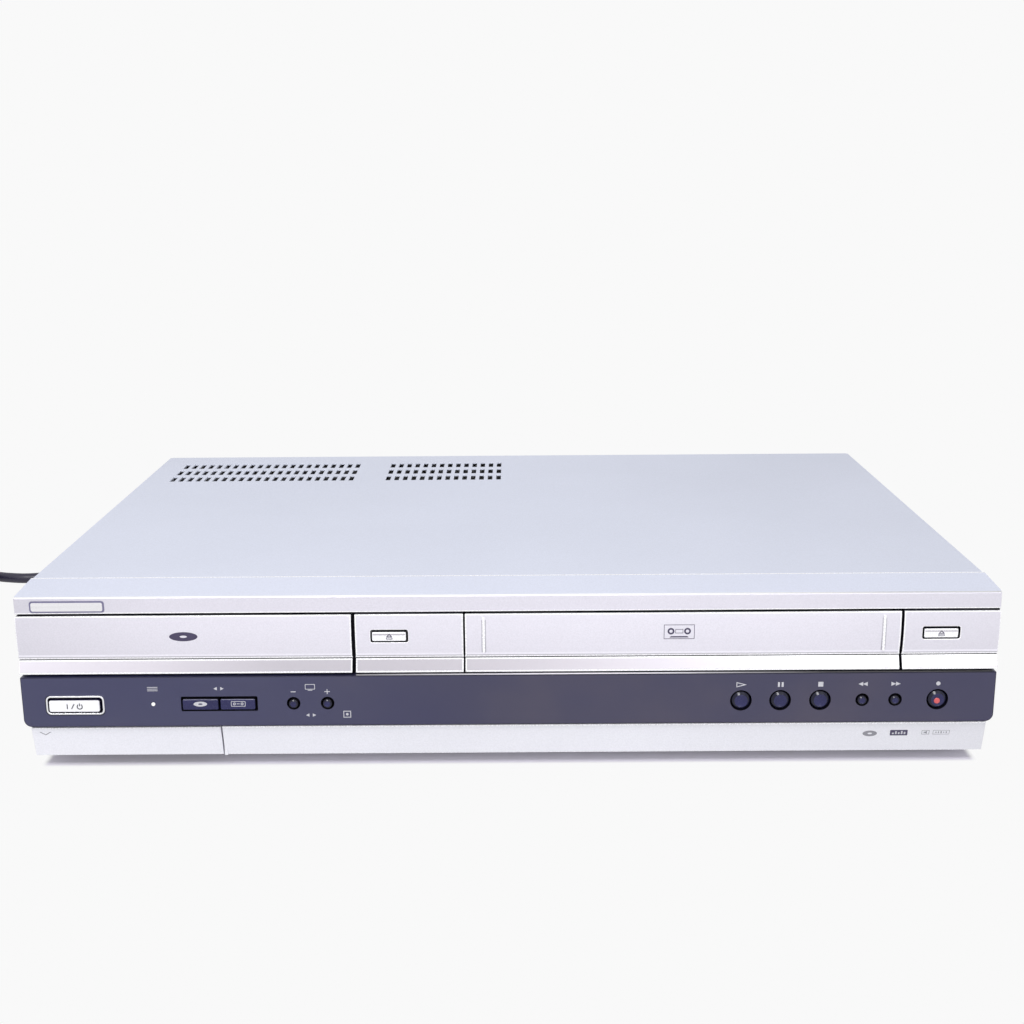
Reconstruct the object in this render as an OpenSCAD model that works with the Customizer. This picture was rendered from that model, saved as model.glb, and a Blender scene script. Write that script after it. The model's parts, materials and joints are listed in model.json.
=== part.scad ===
// Disc and video cassette combination player.
// X runs across the front, Y from front to back, Z up. Millimetres.
// The origin is at the middle of the footprint, on the surface the feet stand on.

/* [Case] */
// Width over the front bezel
body_w = 430; // [429:1:436]
// Width over the top cover
cover_w = 428.6; // [428:0.1:428.8]
// Depth from the front plane to the back edge of the cover
body_d = 287; // [286:1:292]
// Height of the cover above the floor
body_h = 82.5; // [82.5:0.5:84]
// Height of the feet
foot_h = 6; // [5.8:0.1:6]
// Sheet thickness of cover and rear panel
sheet = 1; // [0.8:0.1:1]

/* [Front] */
// Depth of the bezel, front plane to cover seam
bezel_d = 24.7; // [24:0.1:26]
// Height of the front edge of the top cap
cap_z = 81; // [80.8:0.1:81.2]
// Lower edge of the top cap
cap_low_z = 73.3; // [73.2:0.1:73.5]
// Top of the doors and panels below the cap
band_top_z = 72.4; // [72:0.1:72.5]
// Crease between door face and lip
crease_z = 52.5; // [51:0.5:54]
// Lower edge of the lip
lip_z = 46.1; // [46:0.1:46.4]
// How far the lip stands out of the front plane
lip_out = 2; // [1.5:0.1:2]
// How far the middle of the doors stands out of the front plane
crown = 1; // [0.6:0.1:1.2]
// Thickness of doors and front panels
skin = 2.4; // [2:0.1:2.4]
// Top of the dark control panel
panel_top_z = 44.7; // [44.4:0.1:44.7]
// Bottom of the dark control panel
panel_low_z = 21.4; // [21.2:0.1:21.7]
// Width of the dark control panel
panel_w = 429.4; // [428:0.1:430]
// How far the dark control panel stands out of the front plane
panel_out = 1.9; // [1.5:0.1:1.9]
// Width of the lower strip
strip_w = 425; // [424:0.5:426]
// How far the lower strip leans back at its foot
strip_lean = 3.5; // [3:0.1:3.6]

/* [Doors and buttons] */
// Right edge of the disc door
disc_door_x = -68.1; // [-68.4:0.1:-68]
// Left edge of the fixed panel between disc door and flap
mid_left = -66.8; // [-67:0.1:-66.6]
// Right edge of the fixed panel between disc door and flap
mid_right = -19.2; // [-19.3:0.1:-19.1]
// Left edge of the cassette flap
flap_left = -18.7; // [-18.8:0.1:-18.6]
// Right edge of the cassette flap
flap_right = 172; // [171.9:0.1:172.1]
// Left edge of the fixed panel at the right
right_left = 172.9; // [172.8:0.1:173]
// Right edge of the pull-down door
input_door_x = -128.1; // [-128.3:0.1:-128]
// Height of the row of control buttons
row_z = 32; // [31.8:0.1:32.3]
// Height of the two eject buttons
eject_z = 62.6; // [62:0.1:63]
// Radius of the large round buttons
large_r = 4; // [3.8:0.1:4.2]
// Radius of the small round buttons
small_r = 2.2; // [2.1:0.1:2.4]
// Gap between a round button and its hole
ring_gap = 0.8; // [0.5:0.1:0.8]
// Button travel
press = 1; // [0.8:0.1:1]

/* [Disc drive] */
// Middle of the disc drive
disc_x = -141.1; // [-141.3:0.1:-140.9]
// Middle of the disc when the tray is in
disc_y = -75; // [-76:1:-74]
// Width of the tray
tray_w = 128; // [127.6:0.1:128]
// Radius of the disc recess
disc_r = 60.8; // [60.5:0.1:61]

/* [Tape drive] */
// Middle of the cassette
tape_x = 76.7; // [76.6:0.1:76.8]
// Width inside the cassette cradle
cradle_w = 189.2; // [189:0.1:189.4]
// Radius of the head drum
drum_r = 31; // [30:0.5:31]

/* [Mains lead] */
// Diameter of the mains cord
cord_d = 6.4; // [6:0.1:6.4]

/* [Hidden] */
$fn = 48;

silver = [0.86, 0.86, 0.90];
pale_silver = [0.88, 0.89, 0.94];
dark_violet = [0.27, 0.26, 0.35];
navy = [0.12, 0.12, 0.22];
steel = [0.70, 0.71, 0.73];
board_green = [0.16, 0.36, 0.22];
black_plastic = [0.10, 0.10, 0.11];
grey_plastic = [0.35, 0.36, 0.38];

front_y = -146;
panel_y = front_y - panel_out;
rear_y = front_y + body_d;
seam_y = front_y + bezel_d;
half_w = body_w / 2;
half_cover = cover_w / 2;
half_panel = panel_w / 2;
half_strip = strip_w / 2;
inner_x = half_cover - sheet - 0.3;
pan_t = 1;
pan_top = foot_h + pan_t;
bottom_z = 5.5;
strip_top = 20.5;
skin_back = front_y + skin;
panel_back = front_y + 2.5;
rear_face = rear_y - sheet;
jack_end = 148;
board_y = -136;
switch_d = 2;
stem_back = board_y - switch_d - press - 0.2;
crown_z = 64.5;
crown_curve = 0.0075;

// Places of the buttons along the front
disc_eject_x = -51.7;
tape_eject_x = 189.5;
power_x = -191.3;
lamp_x = -156.7;
select_x = -127.5;
channel_down_x = -94.7;
channel_up_x = -79.7;
play_x = 102.8;
pause_x = 120.1;
stop_x = 137.7;
rewind_x = 156.3;
forward_x = 170.8;
record_x = 189.4;
large_holes = [play_x, pause_x, stop_x, record_x];
small_holes = [channel_down_x, channel_up_x, rewind_x, forward_x];
eject_w = 15.1;
eject_h = 4.4;
eject_gap = 0.65;
power_w = 22.8;
power_h = 6.1;
ring_w = 26.2;
ring_h = 9.3;
ring_wall = 0.8;
select_w = 33.9;
select_h = 6.9;

// Flap pivot, behind the top cap
flap_pivot_y = -141.7;
flap_pivot_z = 76.6;
flap_pin_r = 1.2;
pin_gap = 0.05;

// Pull-down door pivot, inside its foot
door_pivot_y = -140.2;
door_pivot_z = 7.2;
door_pin_r = 0.8;
door_left = -half_strip;
lug_w = 2;

// Front jacks
input_jacks = [-190, -170, -150];
input_jack_z = 13;
jack_r = 4.15;
rf_r = 4.76;

// Disc drive levels
tray_back = 6;
tray_low_z = 53;
tray_top_z = 60;
tray_left = disc_x - tray_w / 2;
tray_right = disc_x + tray_w / 2;
gear_y = -129;
gear_teeth = 16;
gear_pitch_r = gear_teeth / 2;
tooth_pitch = PI;
rack_root_x = tray_left + 10;
rack_x = rack_root_x + 1.2;
gear_x = rack_x + gear_pitch_r;
frame_x0 = tray_left - 2.4;
frame_x1 = tray_right + 2.4;
rod_z = 46;
screw_x = disc_x - 31;
pickup_y = -50;

// Tape drive levels
deck_z = 20;
deck_top = 21.5;
reel_y = -62;
reel_off = 46;
reel_pin_r = 1.5;
drum_y = 33;
drum_tilt = 6;
capstan_x = 128.7;
capstan_y = 4;
arm_x = 150;
arm_y = 12;
arm_pin_r = 2;
roller_x = 138.6;
roller_y = 22;
guide_off = 39.7;
guide_y = -18;
guide_travel = 50;
cradle_y0 = -110;
cradle_y1 = -68;
cradle_floor = 46.2;
cradle_top = 72.2;

// Rear connectors: centre x, centre z
rf_jacks = [[186, 56], [186, 34]];
audio_jacks = [[160, 56], [146, 56], [132, 56], [160, 34], [146, 34], [132, 34],
               [108, 56], [94, 56], [80, 56], [108, 34]];
relief_x = -185;
relief_z = 30;
relief_len = 25;

// Mains lead route on the floor, from the strain relief to the coil
cord_r = cord_d / 2;
cord_route = [
    [-185, 166, 30], [-185, 178, 30], [-185, 191, 27], [-187, 203, 21], [-191, 213, 14], [-198, 221, 8],
    [-208, 226, 4.5], [-222, 228, 3.3], [-238, 225, 3.3], [-252, 216, 3.3], [-263, 203, 3.3],
    [-271, 188, 3.3], [-278, 173, 3.3], [-286.5, 158.5, 3.3], [-297.5, 147.8, 3.3], [-310.5, 143, 3.3],
    [-324.5, 144.2, 3.3], [-338, 149, 3.3], [-350.5, 155.3, 3.3], [-361, 160, 3.3]
];
coil_x = -376;
coil_y = 121;
coil_outer = 45;
coil_inner = 25.8;
coil_h = 12.8;
tail_route = [
    [-416, 104, 9.4], [-412, 94, 8.4], [-409, 84, 7.4], [-406, 74, 6.9]
];
plug_turn = 16.7;

// --- Shared shapes ---

// A box between two corners
module slab(x0, x1, y0, y1, z0, z1) {
    translate([x0, y0, z0]) cube([x1 - x0, y1 - y0, z1 - z0]);
}

// A side-on outline in Y and Z, drawn out along X
module across(x0, x1, points) {
    translate([x0, 0, 0]) rotate([90, 0, 90]) linear_extrude(x1 - x0) polygon(points);
}

// A front-on outline in X and Z, drawn out along Y
module frontal(x, z, y0, y1) {
    translate([x, y1, z]) rotate([90, 0, 0]) linear_extrude(y1 - y0) children();
}

// A rod along Y
module rod_y(x, z, y0, y1, r) {
    translate([x, y0, z]) rotate([-90, 0, 0]) cylinder(r = r, h = y1 - y0);
}

// A rod along X
module rod_x(y, z, x0, x1, r) {
    translate([x0, y, z]) rotate([0, 90, 0]) cylinder(r = r, h = x1 - x0);
}

// An upright rod
module rod_z_at(x, y, z0, z1, r) {
    translate([x, y, z0]) cylinder(r = r, h = z1 - z0);
}

// A rectangle with round corners
module rounded(w, h, r) {
    square([w - 2 * r, h], center = true);
    square([w, h - 2 * r], center = true);
    for (sx = [-1, 1], sy = [-1, 1]) translate([sx * (w / 2 - r), sy * (h / 2 - r)]) circle(r = r);
}

// Front face of the doors at height z, in front of the front plane
function face_y(z) = front_y - crown + crown_curve * (z - crown_z) * (z - crown_z);

// Cross-section shared by the doors and the fixed panels between them
band_steps = 7;
groove_h = 0.45;
groove_y = front_y + 1.1;
bevel_z = crease_z + 1.1;
lip_profile = [
    [front_y - lip_out, lip_z], [front_y - lip_out + 0.2, lip_z + 1],
    // A narrow groove parts the lip from the bevel below the face
    [front_y + 0.25, crease_z - groove_h], [groove_y, crease_z - groove_h],
    [groove_y, crease_z], [front_y + 0.35, crease_z]
];
band_profile = concat(
    lip_profile,
    [for (i = [0 : band_steps])
        let (z = bevel_z + (band_top_z - bevel_z) * i / band_steps) [face_y(z), z]],
    [[skin_back, band_top_z], [skin_back, lip_z]]
);

module band(x0, x1) {
    across(x0, x1, band_profile);
}

// A round push button with its retaining flange and stem
module round_button(x, r) {
    rod_y(x, row_z, panel_y - 0.6, stem_back, r);
    rod_y(x, row_z, panel_back + 0.3, panel_back + 1.1, r + ring_gap + 0.6);
}

// A rectangular push button with its retaining flange and stem
module bar_button(x, z, w, h, face, side = 1) {
    frontal(x, z, face, panel_back + 0.4) rounded(w, h, 0.7);
    frontal(x, z, panel_back + 0.3, panel_back + 1.1) square([w + 2 * side, h + 2.4], center = true);
    frontal(x, z, panel_back + 1, stem_back) square([5, 3], center = true);
}

// --- Case ---

module bottom_chassis() {
    color(steel) difference() {
        union() {
            slab(-inner_x, inner_x, seam_y, rear_face, foot_h, pan_top);
            slab(-208, 208, -130.8, seam_y + 1, foot_h, pan_top);
            slab(-inner_x, 1 - inner_x, seam_y + 1, rear_face, pan_top, 28);
            slab(inner_x - 1, inner_x, seam_y + 1, rear_face, pan_top, 28);
            for (x = [frame_x0 + 6, frame_x1 - 6], y = [-118, -2]) rod_z_at(x, y, pan_top, 22, 4);
            for (x = [-12, 166], y = [-112, 66]) rod_z_at(x, y, pan_top, deck_z, 4);
            for (x = [20, 200], y = [84, 130]) rod_z_at(x, y, pan_top, 14, 3);
            for (x = [-195, -35], y = [40, 130]) rod_z_at(x, y, pan_top, 14, 3);
        }
        for (i = [0 : 13]) slab(-180 + i * 10, -176 + i * 10, 55, 115, foot_h - 1, pan_top + 1);
        for (i = [0 : 9]) slab(40 + i * 10, 44 + i * 10, -60, -20, foot_h - 1, pan_top + 1);
    }
}

vent_pitch = 5;
vent_w = 2.7;
vent_l = 12.6;
vent_rows = [80.3, 97.6, 115.2];
vent_left = -197.8;
vent_second = -71;
vent_count = 22;
vent_second_count = 14;
cover_screws_y = [-70, 90];
rear_screws_x = [-120, 0, 120];

module top_cover() {
    color(pale_silver) difference() {
        union() {
            difference() {
                slab(-half_cover, half_cover, seam_y, rear_y + 0.2, foot_h, body_h);
                slab(-half_cover + sheet, half_cover - sheet, seam_y - 1, rear_y + 1,
                    foot_h - 1, body_h - sheet);
            }
            slab(-half_cover + sheet, half_cover - sheet, rear_y, rear_y + sheet, body_h - 10, body_h);
        }
        for (y = vent_rows) {
            for (i = [0 : vent_count - 1])
                slab(vent_left + i * vent_pitch - vent_w / 2, vent_left + i * vent_pitch + vent_w / 2,
                    y - vent_l / 2, y + vent_l / 2, body_h - 2, body_h + 1);
            for (i = [0 : vent_second_count - 1])
                slab(vent_second + i * vent_pitch - vent_w / 2, vent_second + i * vent_pitch + vent_w / 2,
                    y - vent_l / 2, y + vent_l / 2, body_h - 2, body_h + 1);
        }
        for (y = cover_screws_y) rod_x(y, 20, -half_cover - 1, half_cover + 1, 1.6);
        for (x = rear_screws_x) rod_y(x, body_h - 5.5, rear_y - 1, rear_y + 2, 1.6);
    }
}

module rear_panel() {
    color(steel) difference() {
        slab(-inner_x, inner_x, rear_face, rear_y, pan_top, body_h - sheet - 0.2);
        for (p = rf_jacks) rod_y(p[0], p[1], rear_face - 1, rear_y + 1, 6.2);
        for (p = audio_jacks) rod_y(p[0], p[1], rear_face - 1, rear_y + 1, 4.6);
        rod_y(94, 34, rear_face - 1, rear_y + 1, 6.4);
        frontal(80, 34, rear_face - 1, rear_y + 1) square([9, 9], center = true);
        rod_y(relief_x, relief_z, rear_face - 1, rear_y + 1, 5.6);
        for (x = rear_screws_x) rod_y(x, body_h - 5.5, rear_face - 1, rear_y + 1, 1.6);
        for (i = [0 : 15]) slab(-160 + i * 7, -157 + i * 7, rear_face - 1, rear_y + 1, 30, 62);
    }
}

cap_wall = 2;
cap_profile = [
    [front_y, cap_low_z], [front_y, cap_z - 0.9], [front_y + 0.3, cap_z - 0.3], [front_y + 0.9, cap_z],
    [seam_y, body_h], [seam_y, body_h - cap_wall], [front_y + cap_wall, cap_z - cap_wall],
    [front_y + cap_wall, cap_low_z]
];

function strip_y(z) = front_y + strip_lean * (strip_top - z) / (strip_top - bottom_z);

module strip(x0, x1, z0, z1) {
    wall = 2.2;
    across(x0, x1, [[strip_y(z1), z1], [strip_y(z0), z0], [strip_y(z0) + wall, z0],
        [strip_y(z1) + wall, z1]]);
}

module front_bezel() {
    cheek = 2;
    shelf_back = -131;
    ledge_z = 44.75;
    rail_z = 45.15;
    color(silver) difference() {
        union() {
            across(-half_w, half_w, cap_profile);
            for (s = [-1, 1]) {
                a = s * half_w;
                b = s * (half_w - cheek);
                slab(min(a, b), max(a, b), front_y + 2.9, seam_y, strip_top, cap_z - 1);
                slab(min(a, b), max(a, b), front_y, seam_y, cap_low_z, cap_z - 1);
                c = s * half_strip;
                d = s * (half_strip - cheek - 2);
                slab(min(c, d), max(c, d), -138, seam_y, bottom_z, strip_top + 1);
                slab(min(b + s * 0.5, d), max(b + s * 0.5, d), -138, seam_y, strip_top, strip_top + 1);
            }
            across(half_strip - cheek, half_strip, [[strip_y(strip_top) + 1, strip_top],
                [strip_y(bottom_z) + 1, bottom_z], [-137, bottom_z], [-137, strip_top]]);
            band(mid_left, mid_right);
            band(right_left, half_w);
            slab(mid_left, mid_right, front_y + 0.7, skin_back, band_top_z - 1, cap_low_z + 1);
            slab(right_left, half_w, front_y + 0.7, skin_back, band_top_z - 1, cap_low_z + 1);
            // Frame behind the disc door
            slab(-half_w + cheek, mid_left, -142.9, -141.4, ledge_z, cap_z - 1);
            // Walls each side of the cassette slot
            slab(mid_right - 1.5, mid_right, skin_back - 0.5, shelf_back, ledge_z, cap_z - 1);
            slab(right_left, right_left + 1.5, skin_back - 0.5, shelf_back, ledge_z, cap_z - 1);
            slab(mid_left, mid_left + 1.5, skin_back - 0.5, -141.4, ledge_z, cap_z - 1);
            // Rails behind the control panel
            slab(-half_w + cheek, half_w - cheek, panel_back, panel_back + 2, 41.5, 43.8);
            slab(-half_w + cheek, half_w - cheek, panel_back + 2, shelf_back, 43, ledge_z);
            // Silver rail on top of the control panel
            slab(mid_left, half_w - cheek, panel_y + 0.2, -141, panel_top_z + 0.05, rail_z);
            slab(mid_left, half_w - cheek, panel_back, -141, ledge_z - 1, rail_z);
            slab(-half_strip, half_strip, panel_back, panel_back + 2, strip_top - 0.3, 23);
            slab(-half_strip, half_strip, panel_back + 0.5, shelf_back, 18.9, strip_top);
            // Lower strip and floor
            strip(input_door_x + 0.6, half_strip, bottom_z, strip_top);
            slab(input_door_x + 0.6, half_strip, -141, seam_y, bottom_z, foot_h);
            slab(-half_strip, input_door_x + 0.6, -136.2, seam_y, bottom_z, foot_h);
            slab(input_door_x + 0.6, input_door_x + 2.1, -143.5, shelf_back, bottom_z, strip_top);
            // Lugs of the pull-down door
            for (x = [door_left + 4.2, input_door_x - 3.4]) {
                rod_x(door_pivot_y, door_pivot_z, x, x + lug_w, 1.5);
                slab(x, x + lug_w, door_pivot_y, -135, 6.3, 8.4);
                slab(x, x + lug_w, -136.2, -134, bottom_z, 8.4);
            }
        }
        // Room for the two upright ends of the front board
        slab(-65, -23, -138.4, shelf_back + 1, 42, 46);
        slab(176, 207, -138.4, shelf_back + 1, 42, 46);
        // Tray aperture
        slab(frame_x0 + 1, frame_x1 - 1, -144, -140, 49.5, 69.5);
        // Pivot holes of the flap
        rod_x(flap_pivot_y, flap_pivot_z, mid_right - 2, right_left + 2, flap_pin_r + pin_gap);
        // Pivot holes of the pull-down door
        rod_x(door_pivot_y, door_pivot_z, door_left + 3, input_door_x, door_pin_r + pin_gap);
        for (x = [disc_eject_x, tape_eject_x])
            frontal(x, eject_z, front_y - 3, skin_back + 1)
                rounded(eject_w + 2 * eject_gap, eject_h + 2 * eject_gap, 0.9);
    }
}

module control_panel() {
    corner = 3.5;
    mid_z = (panel_top_z + panel_low_z) / 2;
    h = panel_top_z - panel_low_z;
    color(dark_violet) difference() {
        frontal(0, mid_z, panel_y, panel_back) {
            translate([-half_panel, -h / 2 + corner]) square([panel_w, h - corner]);
            translate([-half_panel + corner, -h / 2]) square([panel_w - 2 * corner, h]);
            for (s = [-1, 1]) translate([s * (half_panel - corner), -h / 2 + corner]) circle(r = corner);
        }
        frontal(power_x, row_z - 0.35, panel_y - 1, panel_back + 1) rounded(ring_w, ring_h, 2.2);
        frontal(select_x, row_z, panel_y - 1, panel_back + 1) rounded(select_w, select_h, 0.6);
        rod_y(lamp_x, row_z, panel_y - 1, panel_back + 1, 0.9);
        for (x = large_holes) rod_y(x, row_z, panel_y - 1, panel_back + 1, large_r + ring_gap);
        for (x = small_holes) rod_y(x, row_z, panel_y - 1, panel_back + 1, small_r + ring_gap);
    }
}

foot_places = [[-180, -105], [180, -105], [-180, 110], [180, 110]];

module feet() {
    color(black_plastic) for (p = foot_places) translate([p[0], p[1], 0]) rotate_extrude()
        polygon([[0, 0], [8.5, 0], [9.5, 1.2], [10.5, foot_h], [0, foot_h]]);
}

module case_screws() {
    head = 1.8;
    color(steel) {
        for (y = cover_screws_y) for (s = [-1, 1])
            translate([s * half_cover, y, 20]) rotate([0, s * 90, 0]) difference() {
                cylinder(r = 3, h = 0.7);
                translate([-2.2, -0.4, 0.3]) cube([4.4, 0.8, 1]);
                translate([-0.4, -2.2, 0.3]) cube([0.8, 4.4, 1]);
            }
        for (x = rear_screws_x)
            translate([x, rear_y + sheet, body_h - 5.5]) rotate([-90, 0, 0]) difference() {
                cylinder(r = 3.2, h = head);
                translate([-2.2, -0.4, head - 0.8]) cube([4.4, 0.8, 1]);
                translate([-0.4, -2.2, head - 0.8]) cube([0.8, 4.4, 1]);
            }
    }
}

// --- Front controls ---

module power_button_ring() {
    color([0.9, 0.9, 0.93]) frontal(power_x, row_z - 0.35, panel_y - 0.8, panel_back) difference() {
        rounded(ring_w, ring_h, 2.2);
        rounded(ring_w - 2 * ring_wall, ring_h - 2 * ring_wall, 1.4);
    }
}

module status_lamp() {
    color([0.95, 0.95, 0.9]) rod_y(lamp_x, row_z, panel_y - 0.1, board_y, 0.85);
}

module power_button() {
    z = row_z - 0.45;
    color([0.94, 0.94, 0.97]) {
        frontal(power_x - 0.2, z, panel_y - 1.1, panel_back + 0.4) rounded(power_w, power_h, 0.9);
        frontal(power_x, z, panel_back + 0.3, panel_back + 1.1) rounded(ring_w + 2, ring_h + 1, 1);
        frontal(power_x, z, panel_back + 1, stem_back) square([6, 4], center = true);
    }
}

module disc_eject_button() {
    color(silver) bar_button(disc_eject_x, eject_z, eject_w, eject_h, face_y(eject_z) - 0.2);
}

module tape_eject_button() {
    color(silver) bar_button(tape_eject_x, eject_z, eject_w, eject_h, face_y(eject_z) - 0.2);
}

// Half of the select pair: the pair shares one recess, one button each side of its middle
select_half = (select_w - 1.4) / 2;
disc_select_x = select_x - select_half / 2 - 0.25;
tape_select_x = select_x + select_half / 2 + 0.25;

module select_button(x) {
    color(navy) bar_button(x, row_z, select_half - 0.5, select_h - 1.6, panel_y - 0.3, 0);
}

module disc_select_button() { select_button(disc_select_x); }
module tape_select_button() { select_button(tape_select_x); }

module channel_down_button() { color(navy) round_button(channel_down_x, small_r); }
module channel_up_button() { color(navy) round_button(channel_up_x, small_r); }
module play_button() { color(navy) round_button(play_x, large_r); }
module pause_button() { color(navy) round_button(pause_x, large_r); }
module stop_button() { color(navy) round_button(stop_x, large_r); }
module rewind_button() { color(navy) round_button(rewind_x, small_r); }
module fast_forward_button() { color(navy) round_button(forward_x, small_r); }
module record_button() { color(navy) round_button(record_x, large_r); }

switches = concat(large_holes, small_holes, [power_x, disc_select_x, tape_select_x]);

module front_board() {
    color(board_green) {
        slab(-208, 208, board_y, board_y + 1.6, 22, 42);
        slab(-64, -24, board_y, board_y + 1.6, 41, 70);
        slab(177, 206, board_y, board_y + 1.6, 41, 70);
        for (x = switches) slab(x - 3, x + 3, board_y - switch_d, board_y + 0.5, row_z - 3, row_z + 3);
        for (x = [disc_eject_x, tape_eject_x])
            slab(x - 3, x + 3, board_y - switch_d, board_y + 0.5, eject_z - 3, eject_z + 3);
    }
}

module display_tube() {
    color([0.3, 0.4, 0.42]) difference() {
        slab(-40, 70, board_y - 5.5, board_y, 24.5, 41);
        slab(-41, -38, board_y - 6, board_y + 1, 35, 42);
    }
}

module input_door() {
    door_top = strip_top - 0.3;
    // A short knuckle at each end leaves the plugs room between them
    knuckle_len = 6;
    knuckle_0 = door_left + 4.2 + lug_w + 0.3;
    knuckle_1 = input_door_x - 3.4 - 0.3;
    color(silver) {
        difference() {
            union() {
                strip(door_left, input_door_x, bottom_z + 0.1, door_top);
                rod_x(door_pivot_y, door_pivot_z, knuckle_0, knuckle_0 + knuckle_len, 1.4);
                rod_x(door_pivot_y, door_pivot_z, knuckle_1 - knuckle_len, knuckle_1, 1.4);
                across(door_left, door_left + 1.6, [[strip_y(18.6) + 1, 18.6],
                    [strip_y(8) + 1, 8], [-141, 8], [-139.8, 10], [-139.8, 18.6]]);
            }
            for (x = [door_left + 4.2, input_door_x - 3.4])
                rod_x(door_pivot_y, door_pivot_z, x - 0.3, x + lug_w + 0.3, 1.9);
        }
        rod_x(door_pivot_y, door_pivot_z, knuckle_0 - lug_w, knuckle_0 + 1, door_pin_r);
        rod_x(door_pivot_y, door_pivot_z, knuckle_1 - 1, knuckle_1 + lug_w, door_pin_r);
    }
}

module front_input_jacks() {
    color(grey_plastic) {
        difference() {
            slab(-206, -134, -131, -129.4, 7.4, 18.7);
            for (x = input_jacks) rod_y(x, input_jack_z, -132, -129, jack_r);
        }
        for (x = input_jacks) {
            difference() {
                rod_y(x, input_jack_z, -138, -124, jack_r);
                rod_y(x, input_jack_z, -139, -126, 1.7);
                difference() {
                    rod_y(x, input_jack_z, -139, -128, 3.4);
                    rod_y(x, input_jack_z, -140, -127, 2.5);
                }
            }
        }
    }
}

// --- Disc drive ---

module disc_frame() {
    color(grey_plastic) difference() {
        union() {
            for (s = [0, 1]) {
                x = s == 0 ? frame_x0 : frame_x1 - 2;
                slab(x, x + 2, -140, 8.3, 44.8, 66);
                slab(x, x + 2, -128, 8.3, 22, 45);
            }
            slab(frame_x0, frame_x1, -128, 8.3, 22, 24);
            slab(frame_x0, frame_x1, -128, -126, 22, 45);
            slab(frame_x0, frame_x1, tray_back + 0.3, 8.3, 22, 66);
            // Ledges under the tray rails
            slab(frame_x0 + 1, frame_x0 + 8, -140, 7, 51.2, 52.7);
            slab(frame_x1 - 8, frame_x1 - 1, -140, 7, 51.2, 52.7);
            // Keepers over the tray rails
            for (y = [-138, -60]) {
                slab(frame_x0 + 1, frame_x0 + 5, y, y + 10, 60.4, 61.6);
                slab(frame_x1 - 5, frame_x1 - 1, y, y + 10, 60.4, 61.6);
            }
            // Bracket and post of the tray gear
            slab(frame_x0 + 1, gear_x + 12, -140, -116, 44.8, 46);
            rod_z_at(gear_x, gear_y, 45, 55.4, 1.5);
        }
        slab(disc_x - 30, disc_x + 30, -80, -16, 21, 25);
    }
}

module disc_tray() {
    color(black_plastic) {
        difference() {
            slab(tray_left, tray_right, -140, tray_back, tray_low_z, tray_top_z);
            rod_z_at(disc_x, disc_y, 58, tray_top_z + 1, disc_r);
            rod_z_at(disc_x, disc_y, 57.3, tray_top_z + 1, 41);
            slab(tray_left + 10, tray_right - 10, -138.5, tray_back + 1, tray_low_z - 1, 55.9);
            slab(disc_x - 20, disc_x + 20, disc_y - 20, tray_back + 1, tray_low_z - 1, tray_top_z + 1);
        }
        // Rack on the inner side of the left rail
        for (i = [-3 : 42]) translate([rack_root_x - 0.1, gear_y + i * tooth_pitch, tray_low_z])
            linear_extrude(2.6) polygon([[0, -1], [0, 1], [2.1, 0.35], [2.1, -0.35]]);
    }
}

module tray_front() {
    color(silver) {
        band(-half_w, disc_door_x);
        slab(tray_left + 14, tray_right - 14, skin_back - 0.5, -140, 54, 59.5);
    }
}

module tray_gear() {
    tooth_tip = gear_pitch_r + 0.8;
    color([0.9, 0.9, 0.85]) translate([gear_x, gear_y, 52.8]) difference() {
        union() {
            cylinder(r = gear_pitch_r - 1.2, h = 2.6);
            for (i = [0 : gear_teeth - 1]) rotate([0, 0, (i + 0.5) * 360 / gear_teeth])
                linear_extrude(2.6)
                    polygon([[6, -1], [6, 1], [tooth_tip, 0.35], [tooth_tip, -0.35]]);
            translate([0, 0, -6]) cylinder(r = 10, h = 5);
            translate([0, 0, -2]) cylinder(r = 4, h = 3);
        }
        translate([0, 0, -7]) cylinder(r = 1.56, h = 12);
    }
}

module loader_motors() {
    color(steel) {
        rod_z_at(-160, -113, 24, 40, 8);
        rod_z_at(-160, -113, 40, 42, 3);
        rod_y(screw_x, rod_z, -84, -66, 6);
        rod_y(screw_x, rod_z, -67, -62.4, 1);
        slab(screw_x - 6, screw_x + 6, -82, -70, 36, 41);
    }
}

module sled_frame() {
    rod_r = 1.5;
    color(steel) {
        difference() {
            union() {
                slab(disc_x - 38, disc_x + 38, -92, 0.5, 34, 36);
                slab(disc_x - 38, disc_x + 28, -64, -62.3, 35.5, 50);
                slab(disc_x - 38, disc_x + 28, -2.5, -0.8, 35.5, 50);
            }
            rod_y(screw_x, rod_z, -65, -62, 1.3);
        }
        for (x = [disc_x - 36, disc_x + 36], y = [-88, -4]) rod_z_at(x, y, 24, 34, 3);
        for (x = [disc_x - 20, disc_x + 20]) rod_y(x, rod_z, -62.3, -2.5, rod_r);
    }
}

module spindle_motor() {
    color(steel) difference() {
        union() {
            rod_z_at(disc_x, disc_y, 36, 44, 10.5);
            rod_z_at(disc_x, disc_y, 44, 45, 5);
        }
        rod_z_at(disc_x, disc_y, 37, 50, 1.25);
    }
}

module turntable() {
    color(grey_plastic) translate([disc_x, disc_y, 0]) {
        rotate_extrude() polygon([[0, 38], [1.2, 38], [1.2, 47], [9, 47], [9, 52], [4, 52], [4, 55.4],
            [14.5, 55.4], [14.5, 57.8], [7.4, 57.8], [7.4, 59], [5, 59.8], [0, 59.8]]);
    }
}

module optical_pickup() {
    color([0.25, 0.25, 0.28]) translate([disc_x, pickup_y, 0]) {
        difference() {
            slab(-24, 24, -12, 14, 41, 51);
            for (x = [-20, 20]) rod_y(x, rod_z, -13, 15, 1.55);
        }
        slab(-33, -23.5, -4, 4, 41, 43.4);
        slab(-8, 8, -8, 8, 50.5, 54);
        rod_z_at(0, 0, 53.5, 55.6, 3.4);
    }
}

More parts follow.
